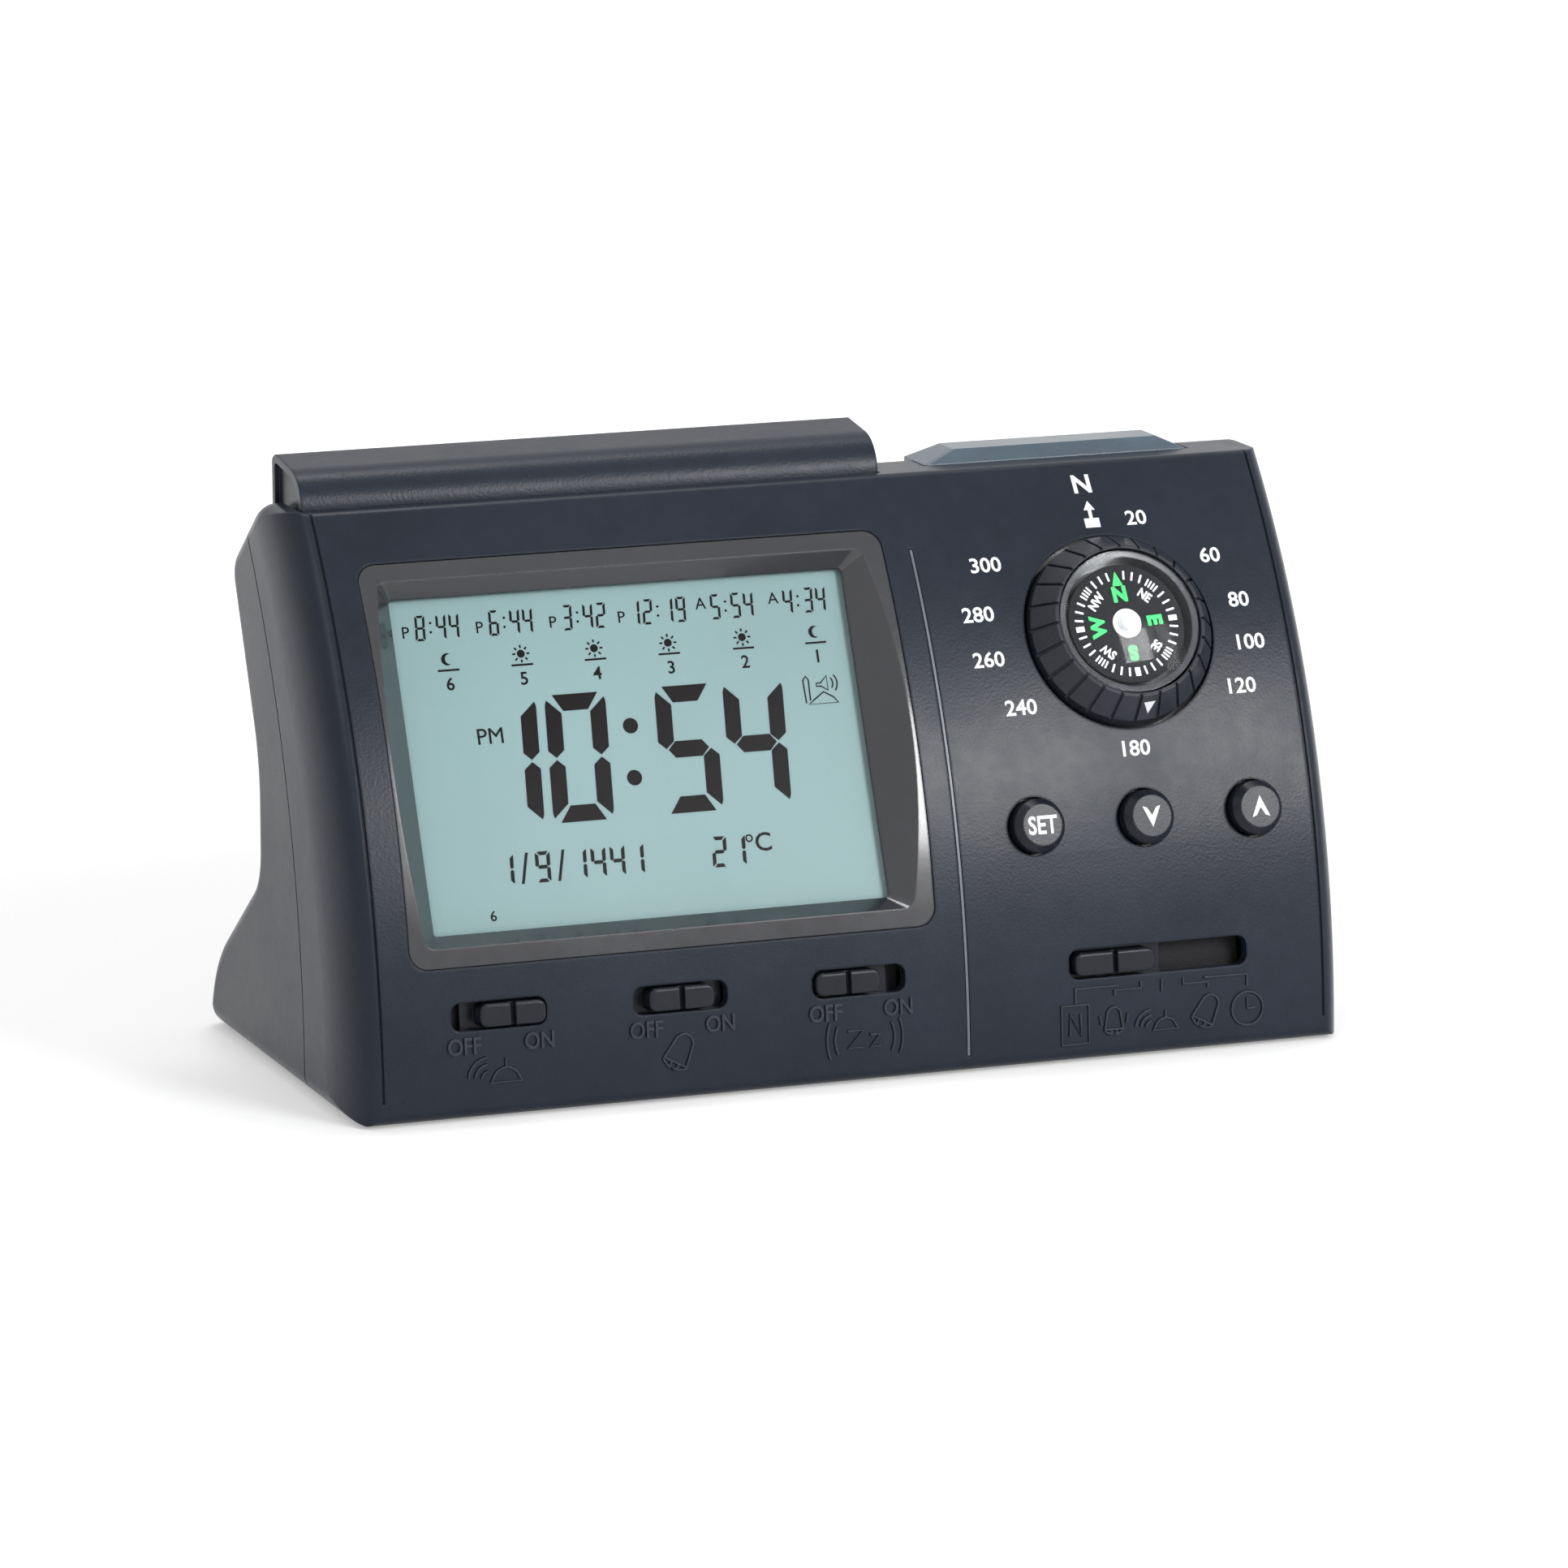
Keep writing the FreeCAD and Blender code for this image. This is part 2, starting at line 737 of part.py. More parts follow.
def display_bezel():
    """The sloping frame round the display, flush with the curved face."""
    solid = placed(display_opening(size("bezel_gap")), panel)
    solid = solid.common(placed(block(-FAR, FAR, -FAR, FAR, 0, FAR), panel))
    solid = solid.common(rod_across(radius - size("bezel_gap"), axis_back, axis_up, -FAR, FAR))
    wide, high = size("glass_half_wide"), size("glass_half_high")
    lip = size("bezel_lip")
    rise = size("panel_sink")
    inside = outline_wire(rectangle(-wide, wide, -high, high, lip))
    mouth = outline_wire(rectangle(bezel_left + lip, bezel_right - lip, lip - bezel_high,
                                   bezel_high - lip, size("bezel_corner") - lip))
    mouth.translate(Vector(0, 0, rise))
    funnel = Part.makeLoft([inside, mouth], True, True)
    through = slab(rectangle(-wide, wide, -high, high, lip), -1, 0.01)
    return solid.cut([placed(funnel, panel), placed(through, panel)])


def stack_box(label, wide, high, thick, depth, rise="0"):
    """One flat layer of the display, centred behind the window; depth is its front face."""
    layer = box(label, ["Dims." + wide, "Dims." + high, "Dims." + thick],
                (-size(wide) / 2, rise_of(rise) - size(high) / 2, depth - size(thick)), panel)
    return keep(layer)


def rise_of(text):
    """A layer's shift up the panel, from nothing or from the zebra strip's height."""
    return 0.0 if text == "0" else size(text) / 2


shaped("front_case", front_case())
shaped("rear_case", rear_case())
shaped("divider_strip", divider(0).common(rod_across(radius, axis_back, axis_up, -FAR, FAR)))
shaped("display_bezel", display_bezel())

# Display layers, from the window backwards
layer_gap = size("stack_gap")
window_front = -layer_gap
lcd_front = window_front - size("window_thick") - layer_gap
guide_front = lcd_front - size("lcd_thick") - layer_gap
board_front = guide_front - size("guide_thick") - layer_gap
board_behind = board_front - size("board_thick")
stack_box("display_window", "window_wide", "window_high", "window_thick", window_front)
stack_box("lcd_cell", "lcd_wide", "lcd_high", "lcd_thick", lcd_front)
stack_box("light_guide", "guide_wide", "guide_high", "guide_thick", guide_front, "zebra_high")
stack_box("main_board", "board_wide", "board_high", "board_thick", board_front)
zebra_low = size("zebra_high") / 2 - size("guide_high") / 2 - layer_gap - size("zebra_high")
keep(box("zebra_strip", ["Dims.zebra_wide", "Dims.zebra_high", "Dims.guide_thick"],
         (-size("zebra_wide") / 2, zebra_low, guide_front - size("guide_thick")), panel))
chips = []
chip_shares = ((-1, 0.36), (0.18, -0.45), (1, 0.54))
for number, shares in enumerate(chip_shares):
    across, rise = (share * size("chip_spread") for share in shares)
    chips.append(box("chip_%d" % number, ["Dims.chip_side", "Dims.chip_side", "Dims.chip_thick"],
                     (across - size("chip_side") / 2, rise - size("chip_side") / 2,
                      board_behind - size("chip_thick")), panel))
group("board_chips", chips)

# Push buttons, their rubber pad and board
for label, across in zip(("set_button", "down_button", "up_button"), button_places):
    cap = "Dims.button_hole - Dims.button_gap"
    flange = "Dims.button_hole + Dims.flange_lap"
    over = "-(Dims.wall + Dims.slide_gap)"
    under = over + " - Dims.flange_thick"
    foot = under + " - Dims.stem_long"
    turned(label, [
        ("0", foot),
        ("Dims.stem_radius", foot),
        ("Dims.stem_radius", under),
        (flange, under),
        (flange, over),
        (cap, over),
        (cap, "Dims.button_proud - Dims.cap_chamfer"),
        ("Dims.cap_top", "Dims.button_proud"),
        ("0", "Dims.button_proud"),
    ], face_frame(across, size("button_up")))


def button_pad():
    """The rubber sheet under the buttons, with a low dome under each."""
    reach = size("control_wide") / 2
    half = size("control_high") / 2
    sheet_solid = block(-reach, reach, -half, half, pad_over - size("pad_thick"), pad_over)
    for index in range(3):
        dome = rod(size("dome_radius"), pad_over - size("pad_thick") / 2, pad_over + size("dome_thick"))
        dome.translate(Vector((index - 1) * size("button_pitch"), 0, 0))
        sheet_solid = sheet_solid.fuse(dome)
    sheet_solid = placed(sheet_solid, controls)
    for shift in (-size("button_pitch") / 2, size("button_pitch") / 2):
        hole = rod(size("post_radius") + size("post_gap"), -FAR, FAR)
        hole.translate(Vector(shift, 0, 0))
        sheet_solid = sheet_solid.cut(placed(hole, controls))
    return sheet_solid


shaped("button_pad", button_pad())
keep(box("control_board", ["Dims.control_wide", "Dims.control_high", "Dims.board_thick"],
         (-size("control_wide") / 2, -size("control_high") / 2, control_over - size("board_thick")),
         controls))

# Compass
turned("compass_cup", [
    ("0", "-(Dims.cup_floor + Dims.cup_thick)"),
    ("Dims.compass_hole + Dims.cup_lap", "-(Dims.cup_floor + Dims.cup_thick)"),
    ("Dims.compass_hole + Dims.cup_lap", "-Dims.cup_rim"),
    ("Dims.compass_hole", "-Dims.cup_rim"),
    ("Dims.compass_hole", "-Dims.cup_floor"),
    ("0", "-Dims.cup_floor"),
], compass)
turned("compass_capsule", [
    ("0", "Dims.stack_gap - Dims.cup_floor"),
    ("Dims.capsule_radius", "Dims.stack_gap - Dims.cup_floor"),
    ("Dims.capsule_radius", "Dims.capsule_rim"),
    ("Dims.capsule_radius - Dims.capsule_wall", "Dims.capsule_rim"),
    ("Dims.capsule_radius - Dims.capsule_wall", "Dims.capsule_floor"),
    ("0", "Dims.capsule_floor"),
], compass)
turned("compass_pin", [
    ("0", "Dims.capsule_floor + Dims.stack_gap"),
    ("Dims.pin_foot", "Dims.capsule_floor + Dims.stack_gap"),
    ("Dims.pin_radius", "Dims.capsule_floor + Dims.pin_foot / 2"),
    ("Dims.pin_radius", "Dims.card_under + Dims.card_thick - Dims.pin_radius"),
    ("0", "Dims.card_under + Dims.card_thick"),
], compass)
turned("compass_card", [
    ("Dims.card_bore", "Dims.card_under"),
    ("Dims.card_radius", "Dims.card_under"),
    ("Dims.card_radius", "Dims.card_under + Dims.card_thick"),
    ("Dims.card_bore", "Dims.card_under + Dims.card_thick"),
], compass)


def card_jewel():
    """The round cap that rides on the pin and carries the card."""
    under = size("card_under") + size("card_thick") + size("jewel_gap")
    ball = Part.makeSphere(size("jewel_radius"), Vector(0, 0, under + size("jewel_radius") / 3))
    collar = rod(size("jewel_radius") + size("card_bore"), size("card_under") + size("card_thick"),
                 under + size("jewel_gap"))
    hollow = rod(size("card_bore"), 0, under)
    return placed(ball.common(rod(FAR, under, FAR)).fuse(collar).cut(hollow), compass)


def compass_dome():
    """The clear cover, a thin cap of a sphere."""
    centre = Vector(0, 0, size("dome_top") - size("dome_curve"))
    shell = Part.makeSphere(size("dome_curve"), centre)
    shell = shell.cut(Part.makeSphere(size("dome_curve") - size("dome_wall"), centre))
    rim = size("capsule_rim") + size("stack_gap")
    return placed(shell.common(rod(size("capsule_radius"), rim, FAR)), compass)


def compass_ring():
    """The turning ring round the compass, with grooves down its sloping rim."""
    inside = size("capsule_radius") + size("ring_gap")
    low = size("ring_seat") - size("cup_floor")
    outside, shoulder_up = size("ring_outer"), size("ring_shoulder")
    crest, crest_up = size("ring_top_radius"), size("ring_top")
    profile = Part.makePolygon([
        Vector(inside, 0, low), Vector(outside, 0, low), Vector(outside, 0, shoulder_up),
        Vector(crest, 0, crest_up), Vector(inside, 0, crest_up), Vector(inside, 0, low)])
    solid = Part.Face(profile).revolve(Vector(0, 0, 0), Vector(0, 0, 1), 360)
    run = Vector(outside - crest, 0, shoulder_up - crest_up)
    drop = math.degrees(math.atan2(-run.z, run.x))
    cutter = Part.makeBox(run.Length + 2, size("notch_wide"), 2 * size("notch_deep"),
                          Vector(-1, -size("notch_wide") / 2, -size("notch_deep")))
    cutter.Placement = Placement(Vector(crest, 0, crest_up), Rotation(Vector(0, 1, 0), drop))
    cutters = []
    count = int(size("ring_grooves"))
    for index in range(count):
        angle = 360.0 * (index + 0.5) / count + size("ring_phase")
        turn = Placement(Vector(), Rotation(Vector(0, 0, 1), angle))
        cutters.append(placed(cutter, turn))
    return placed(solid.cut(cutters), compass)


shaped("card_jewel", card_jewel())
shaped("compass_dome", compass_dome())
shaped("compass_ring", compass_ring())


def knob(half, high, across, rise):
    """A slide knob: two humps with a notch between them, on a plate behind the slot."""
    proud = size("knob_proud")
    cap = slab(rectangle(-half, half, -high / 2, high / 2, size("knob_corner")), plate_under, proud)
    crown = [edge for edge in cap.Edges if all(abs(v.Z - proud) < 0.01 for v in edge.Vertexes)]
    cap = cap.makeFillet(size("knob_round"), crown)
    notch = block(-size("knob_notch") / 2, size("knob_notch") / 2, -high, high,
                  proud - size("knob_notch_deep"), proud + 1)
    lap = size("plate_lap")
    plate = block(-half - lap, half + lap, -size("plate_high") / 2, size("plate_high") / 2,
                  plate_under, plate_over)
    solid = cap.cut(notch).fuse(plate)
    solid.translate(Vector(across, rise, 0))
    return placed(solid, switches).removeSplitter()


# The three short switches stand at on, halfway and off; the long one at its first mark
for label, across, share in zip(("left_knob", "middle_knob", "right_knob"), slot_places, (0.5, 0, -0.5)):
    stand = across + share * size("switch_travel")
    shaped(label, knob(size("knob_half"), size("knob_high"), stand, 0))
mode_left = size("mode_across") - size("mode_wide") / 2
mode_stand = mode_left + size("mode_start") + size("mode_half")
shaped("mode_knob", knob(size("mode_half"), size("knob_high"), mode_stand, -size("mode_drop")))
switch_bodies = []
for number, across in enumerate(slot_places):
    switch_bodies.append(box("switch_%d" % number, ["Dims.slot_wide", "Dims.body_high", "Dims.body_thick"],
                             (across - size("slot_wide") / 2, -size("body_high") / 2,
                              body_over - size("body_thick")), switches))
group("switch_bodies", switch_bodies)
keep(box("mode_switch_body", ["Dims.mode_wide", "Dims.body_high", "Dims.body_thick"],
         (mode_left, -size("mode_drop") - size("body_high") / 2, body_over - size("body_thick")),
         switches))
keep(box("switch_board", ["2 * (Dims.case_half_wide - Dims.switch_board_inset)",
                          "Dims.switch_board_high", "Dims.board_thick"],
         (size("switch_board_inset") - half_wide, -size("switch_board_high") / 2 - size("mode_drop"),
          switch_board_over - size("board_thick")), switches))


def snooze_bar():
    """The long half-round bar on top, with a shallow recess in its left end."""
    under, over = size("bar_under"), size("bar_top")
    corners = [
        (bar_front, under, size("bar_foot_round")),
        (bar_front, over - size("bar_rise"), size("bar_round")),
        (bar_back - size("bar_rise"), over, size("bar_rise")),
        (bar_back, over - size("bar_rise") / 2, size("bar_back_round") / 2),
        (bar_back, under, size("bar_foot_round")),
    ]
    bar = lengthwise(corners, bar_left, bar_right)
    recess = lengthwise(inset_corners(corners, size("bar_rim")), bar_left - 1, bar_left + size("bar_recess"))
    return bar.cut(recess)


def light_button():
    """The low button on the right of the top, sloping down at all four sides."""
    left, right = size("key_left"), size("key_right")
    front, back = size("key_front"), size("key_back")
    slope_side = size("key_slope_side")
    corner = size("key_round")
    foot = outline_wire(rectangle(left, right, front, back, corner))
    crown = outline_wire(rectangle(left + size("key_slope_left"), right - size("key_slope_right"),
                                   front + slope_side, back - slope_side, corner))
    foot.translate(Vector(0, 0, top))
    crown.translate(Vector(0, 0, top + size("key_proud")))
    stem = slab(rectangle(left, right, front, back, corner), size("bar_under"), top)
    return stem.fuse(Part.makeLoft([foot, crown], True, True)).removeSplitter()


shaped("snooze_bar", snooze_bar())
shaped("light_button", light_button())
tact_over = size("bar_under") - size("bar_travel") - size("tact_gap")
key_board_over = tact_over - size("tact_high")
level = Placement()
keep(box("key_board", ["2 * (Dims.case_half_wide - Dims.key_board_inset)",
                       "Dims.key_board_front + Dims.key_board_back", "Dims.board_thick"],
         (size("key_board_inset") - half_wide, -size("key_board_front"),
          key_board_over - size("board_thick")), level))
tacts = []
key_middle = (size("key_left") + size("key_right")) / 2
for number, across in enumerate((bar_left / 2, 0, key_middle)):
    tacts.append(box("tact_%d" % number, ["Dims.tact_side", "Dims.tact_side", "Dims.tact_high"],
                     (across - size("tact_side") / 2, (size("key_back") - size("tact_side")) / 2,
                      key_board_over), level))
group("key_switches", tacts)

# Speaker, its rim against the inside of the back wall
rim_over = "-(Dims.wall + Dims.stack_gap)"
rim_under = "-(Dims.wall + Dims.stack_gap + Dims.speaker_rim)"
frame_under = "-(Dims.wall + Dims.speaker_deep)"
frame_inside = "-(Dims.wall + Dims.speaker_deep - Dims.speaker_wall)"
turned("speaker_frame", [
    ("Dims.speaker_radius - Dims.speaker_step", rim_over),
    ("Dims.speaker_radius", rim_over),
    ("Dims.speaker_radius", rim_under),
    ("Dims.magnet_radius", frame_under),
    ("Dims.magnet_radius - Dims.speaker_wall", frame_under),
    ("Dims.magnet_radius - Dims.speaker_wall", frame_inside),
    ("Dims.speaker_radius - Dims.speaker_step", rim_under),
], speaker)
cone_middle = "Dims.magnet_radius - Dims.speaker_wall * 2"
cone_edge = "Dims.speaker_radius - Dims.speaker_step - Dims.cone_gap"
cone_low = "-(Dims.wall + Dims.speaker_deep - Dims.speaker_wall * 2)"
cone_high = "-(Dims.wall + Dims.speaker_deep - Dims.speaker_wall * 3)"
turned("speaker_cone", [
    ("0", cone_low),
    (cone_middle, cone_low),
    (cone_edge, "-(Dims.wall + Dims.speaker_rim)"),
    (cone_edge, "-(Dims.wall + Dims.speaker_rim - Dims.cone_thick)"),
    (cone_middle, cone_high),
    ("0", cone_high),
], speaker)
magnet_edge = "Dims.magnet_radius + Dims.magnet_lap"
magnet_over = "-(Dims.wall + Dims.speaker_deep + Dims.stack_gap)"
magnet_under = "-(Dims.wall + Dims.speaker_deep + Dims.stack_gap + Dims.magnet_thick)"
turned("speaker_magnet", [
    ("0", magnet_under),
    (magnet_edge, magnet_under),
    (magnet_edge, magnet_over),
    ("0", magnet_over),
], speaker)


# Battery bay
def battery_door():
    """The door over the batteries, hinged along its lower edge."""
    plate = placed(block(-door_half, door_half, -door_down, size("hinge_along"), -size("door_thick"), wall),
                   door)
    plate = plate.common(outer)
    barrel = hinge_rod(size("barrel_radius"), -door_half, door_half)
    pin_end = door_half + size("hinge_pin_long") - size("hinge_fit")
    pins = hinge_rod(size("hinge_pin_radius"), -pin_end, pin_end)
    return plate.fuse([barrel, pins]).removeSplitter()


cell_back, cell_up, cell_radius = size("cell_back"), size("cell_up"), size("cell_radius")
bay_half = size("cell_long") + size("contact_room")
bay_floor = cell_up - cell_radius - size("stack_gap")


def battery_tray():
    """The open tray that holds the two cells end to end."""
    gap, thick = size("tray_gap"), size("tray_wall")
    front = cell_back - cell_radius - gap
    back = cell_back + cell_radius + gap
    solid = block(-bay_half - thick, bay_half + thick, front - thick, back + thick,
                  base + wall + size("stack_gap"), cell_up + cell_radius)
    solid = solid.common(envelope(wall + size("stack_gap")))
    solid = solid.cut(block(-bay_half, bay_half, front, back, bay_floor, FAR))
    return solid.cut(hinge_rod(size("lug_radius") + size("door_gap"), -FAR, FAR))


def across_x(place):
    """A frame whose Z points along +X."""
    return Placement(place, Rotation(Vector(0, 1, 0), 90))


shaped("battery_door", battery_door())
shaped("battery_tray", battery_tray())
for label, start in (("left_cell", -size("cell_long")), ("right_cell", 0.0)):
    turned(label, [
        ("0", "Dims.stack_gap"),
        ("Dims.cell_radius", "Dims.stack_gap"),
        ("Dims.cell_radius", "Dims.cell_long - Dims.nub_long"),
        ("Dims.nub_radius", "Dims.cell_long - Dims.nub_long"),
        ("Dims.nub_radius", "Dims.cell_long"),
        ("0", "Dims.cell_long"),
    ], across_x(Vector(start, cell_back, cell_up)))
contacts = []
for sign in (-1, 1):
    turn = Rotation(Vector(0, 1, 0), 90 * sign)
    end = Placement(Vector(sign * bay_half, cell_back, cell_up), turn)
    half_side = size("contact_side") / 2
    plate = box("contact_plate_%d" % (sign + 1),
                ["Dims.contact_side", "Dims.contact_side", "Dims.contact_thick"],
                (-half_side, -half_side, -size("contact_thick") - layer_gap), end)
    spring = doc.addObject("Part::Cone", "contact_spring_%d" % (sign + 1))
    spring.setExpression("Radius1", "Dims.contact_radius / 2")
    spring.setExpression("Radius2", "Dims.contact_radius")
    spring.setExpression("Height", "Dims.contact_room - Dims.contact_thick - 3 * Dims.stack_gap")
    spring.Placement = end.multiply(Placement(Vector(0, 0, 2 * layer_gap - size("contact_room")), Rotation()))
    contacts.append(plate)
    contacts.append(spring)
group("battery_contacts", contacts)


def screw():
    """One case screw: a round head with a cross slot on a plain shank."""
    under = -size("screw_sink")
    head = rod(size("screw_head"), under + size("screw_gap"), under + size("screw_head_thick"))
    solid = head.fuse(rod(size("screw_radius"), under - size("screw_long"), under + size("screw_gap")))
    arm, half = size("cross_arm"), size("cross_half")
    mouth = under + size("screw_head_thick")
    for sides in ((arm, half), (half, arm)):
        solid = solid.cut(block(-sides[0], sides[0], -sides[1], sides[1],
                                mouth - size("cross_deep"), mouth + 1))
    return solid


shaped("case_screws", Part.makeCompound([placed(screw(), frame) for frame in screw_frames]))
pads = []
for number, place in enumerate(pad_places):
    pad = doc.addObject("Part::Cylinder", "pad_%d" % number)
    pad.setExpression("Radius", "Dims.pad_radius")
    pad.setExpression("Height", "Dims.case_base + Dims.pad_deep - Dims.stack_gap")
    pad.Placement = Placement(place, Rotation())
    pads.append(pad)
group("foot_pads", pads)

doc.recompute()
for item in doc.Objects:
    if "Invalid" in item.State or "Error" in item.State:
        raise RuntimeError("%s did not build: %s" % (item.Label, item.State))
os.makedirs("parts", exist_ok=True)
for piece in NODES:
    if piece.Shape.isNull() or not piece.Shape.isValid() or not piece.Shape.Solids:
        raise RuntimeError("%s has no valid solid" % piece.Label)
    piece.Shape.exportStep("parts/%s.step" % piece.Label)
limits = Part.makeCompound([piece.Shape for piece in NODES]).BoundBox
print(len(NODES), "nodes", limits)
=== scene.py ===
"""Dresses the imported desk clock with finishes, marks, display segments, fine parts and a stage."""

import json
import math

import bmesh
import bpy
from bpy.props import FloatProperty, FloatVectorProperty, PointerProperty
from mathutils import Matrix, Vector
from mathutils.bvhtree import BVHTree


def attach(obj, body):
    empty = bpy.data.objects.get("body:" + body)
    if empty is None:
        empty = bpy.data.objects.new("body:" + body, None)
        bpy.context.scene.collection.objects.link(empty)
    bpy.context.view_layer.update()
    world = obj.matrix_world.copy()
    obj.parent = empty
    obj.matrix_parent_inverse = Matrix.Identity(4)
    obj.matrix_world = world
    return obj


bl_info = {
    "name": "Desk clock",
    "version": (1, 0, 0),
    "blender": (4, 5, 0),
    "location": "3D Viewport > Sidebar > Clock",
    "description": "Marks, finishes and studio for a desk clock with a compass",
    "category": "Object",
}

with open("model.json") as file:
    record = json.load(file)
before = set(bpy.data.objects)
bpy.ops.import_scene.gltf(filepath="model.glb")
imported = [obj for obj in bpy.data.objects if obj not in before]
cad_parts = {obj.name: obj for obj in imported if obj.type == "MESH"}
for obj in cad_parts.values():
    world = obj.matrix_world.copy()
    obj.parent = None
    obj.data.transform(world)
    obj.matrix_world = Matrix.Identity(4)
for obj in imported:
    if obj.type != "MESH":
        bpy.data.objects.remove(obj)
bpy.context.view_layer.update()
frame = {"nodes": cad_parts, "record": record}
NODES = frame["nodes"]
SLOT_OF_NODE = {part["node"]: part["material_slot"] for part in frame["record"]["subparts"]}
MM = 0.001

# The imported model's flat materials make way for the finishes below
for flat in list(bpy.data.materials):
    bpy.data.materials.remove(flat)

# Segments lit for each figure, named as on a seven-segment display
LIT = {
    "0": "ABCDEF",
    "1": "BC",
    "2": "ABGED",
    "3": "ABGCD",
    "4": "FGBC",
    "5": "AFGCD",
    "6": "AFGECD",
    "8": "ABCDEFG",
    "9": "ABCDFG",
}

# Points closer than this are one point
SAME_POINT = 1e-7
BEVEL_SAMPLES = 4
COAT_ROUGHNESS = 0.12

# Degrees by which the compass card and its ring stand turned at rest
CARD_TURN = -3.0
RING_TURN = 5.0

# Degrees by which the battery door leans
DOOR_LEAN = -36.5

# Directions on the compass card that carry two letters, in degrees
CORNERS = (45, 135, 225, 315)

# Beads of line art are smooth up to this angle between faces
BEAD_ANGLE = 60

# Millimetres above a part from where drape looks for its surface
LOOK_DOWN = 20

# Grain of every printed mark, and then the finish of each material slot and kind of mark. A tint in
# quotes is one of the colour settings, and edge is the radius of soft edges in millimetres.
# How much a finish's edges are lightened is partly rubbed wear and partly a painted highlight.
INK = dict(roughness=0.5, scale=5000, bump=0.12, spread=0.12, edge=0.02, worn_and_highlit=0.0, lift=0.08)
FINISHES = {
    "case_plastic": dict(tint="case", roughness=0.31, scale=2400, edge=0.5, worn_and_highlit=0.25, level=0.22),
    # The marks' edges are lightened most, partly as wear and partly as a painted highlight.
    "mark_plastic": dict(tint="case", roughness=0.27, scale=2400, bump=0.08, edge=0.06, worn_and_highlit=0.6,
                         level=0.4),
    "bezel_plastic": dict(tint="bezel", roughness=0.20, scale=1800, bump=0.07, spread=0.12, edge=0.4,
                          worn_and_highlit=0.2, coat=0.6),
    "ring_plastic": dict(tint="ring", roughness=0.28, bump=0.22, spread=0.12, edge=0.4, worn_and_highlit=0.3,
                         level=0.3),
    "button_plastic": dict(tint="button", roughness=0.24, scale=3000, bump=0.1, worn_and_highlit=0.25, level=0.25),
    "bar_plastic": dict(tint="case", roughness=0.34, scale=2200, bump=0.32, edge=0.6, worn_and_highlit=0.2,
                        level=0.25),
    "key_plastic": dict(tint="key", roughness=0.30, scale=2000, bump=0.12, spread=0.12, worn_and_highlit=0.25,
                        coat=0.3),
    # The light line's pale tint is a painted highlight, standing for the lit edge of a step between two parts
    # of the front.
    "light_line": dict(tint=(0.10, 0.115, 0.14), roughness=0.35, bump=0.15, edge=0.1, worn_and_highlit=0.1),
    "white_plastic": dict(tint=(0.83, 0.84, 0.85), roughness=0.14, scale=1500, bump=0.04, spread=0.08,
                          edge=0.2, worn_and_highlit=0.0, lift=0.04, coat=0.5),
    "grey_rubber": dict(tint=(0.18, 0.18, 0.19), roughness=0.62, scale=1700, bump=0.35, spread=0.12),
    "chip_plastic": dict(tint=(0.012, 0.012, 0.015), roughness=0.55, scale=3200, bump=0.4, level=0.2),
    "steel": dict(tint=(0.58, 0.58, 0.60), roughness=0.30, scale=1400, bump=0.18, spread=0.22, edge=0.2,
                  worn_and_highlit=0.5, lift=0.1, metallic=1.0),
    "card_paper": dict(tint=(0.003, 0.003, 0.005), roughness=0.5, scale=3600, bump=0.14, edge=0.05,
                       worn_and_highlit=0.0, level=0.1),
    "cone_paper": dict(tint=(0.03, 0.028, 0.026), roughness=0.8, scale=1300, bump=0.7, spread=0.15,
                       edge=0.2, worn_and_highlit=0.4),
    "magnet_iron": dict(tint=(0.11, 0.11, 0.115), roughness=0.55, scale=1000, bump=0.5, spread=0.2,
                        edge=0.4, worn_and_highlit=0.4, lift=0.3, metallic=0.6),
    "cell_wrap": dict(tint=(0.10, 0.17, 0.32), roughness=0.28, scale=900, bump=0.06, worn_and_highlit=0.2),
    "copper_foil": dict(tint="copper", roughness=0.24, scale=1200, bump=0.06, edge=0.2, worn_and_highlit=0.2,
                        lift=0.1, metallic=0.8),
    "foot_rubber": dict(tint=(0.018, 0.018, 0.018), roughness=0.75, scale=1500, bump=0.5),
    "white_ink": dict(INK, tint="white", level=0.4),
    "green_ink": dict(INK, tint="green", level=0.4),
    "segment_ink": dict(INK, tint="segment", level=0.05),
}


def length(name, description, default):
    """A length setting given in millimetres."""
    return FloatProperty(name=name, description=description, default=default * MM, unit="LENGTH", precision=5)


def colour(name, description, default):
    """A colour setting."""
    return FloatVectorProperty(name=name, description=description, default=default, size=3,
                               subtype="COLOR", min=0, max=1)


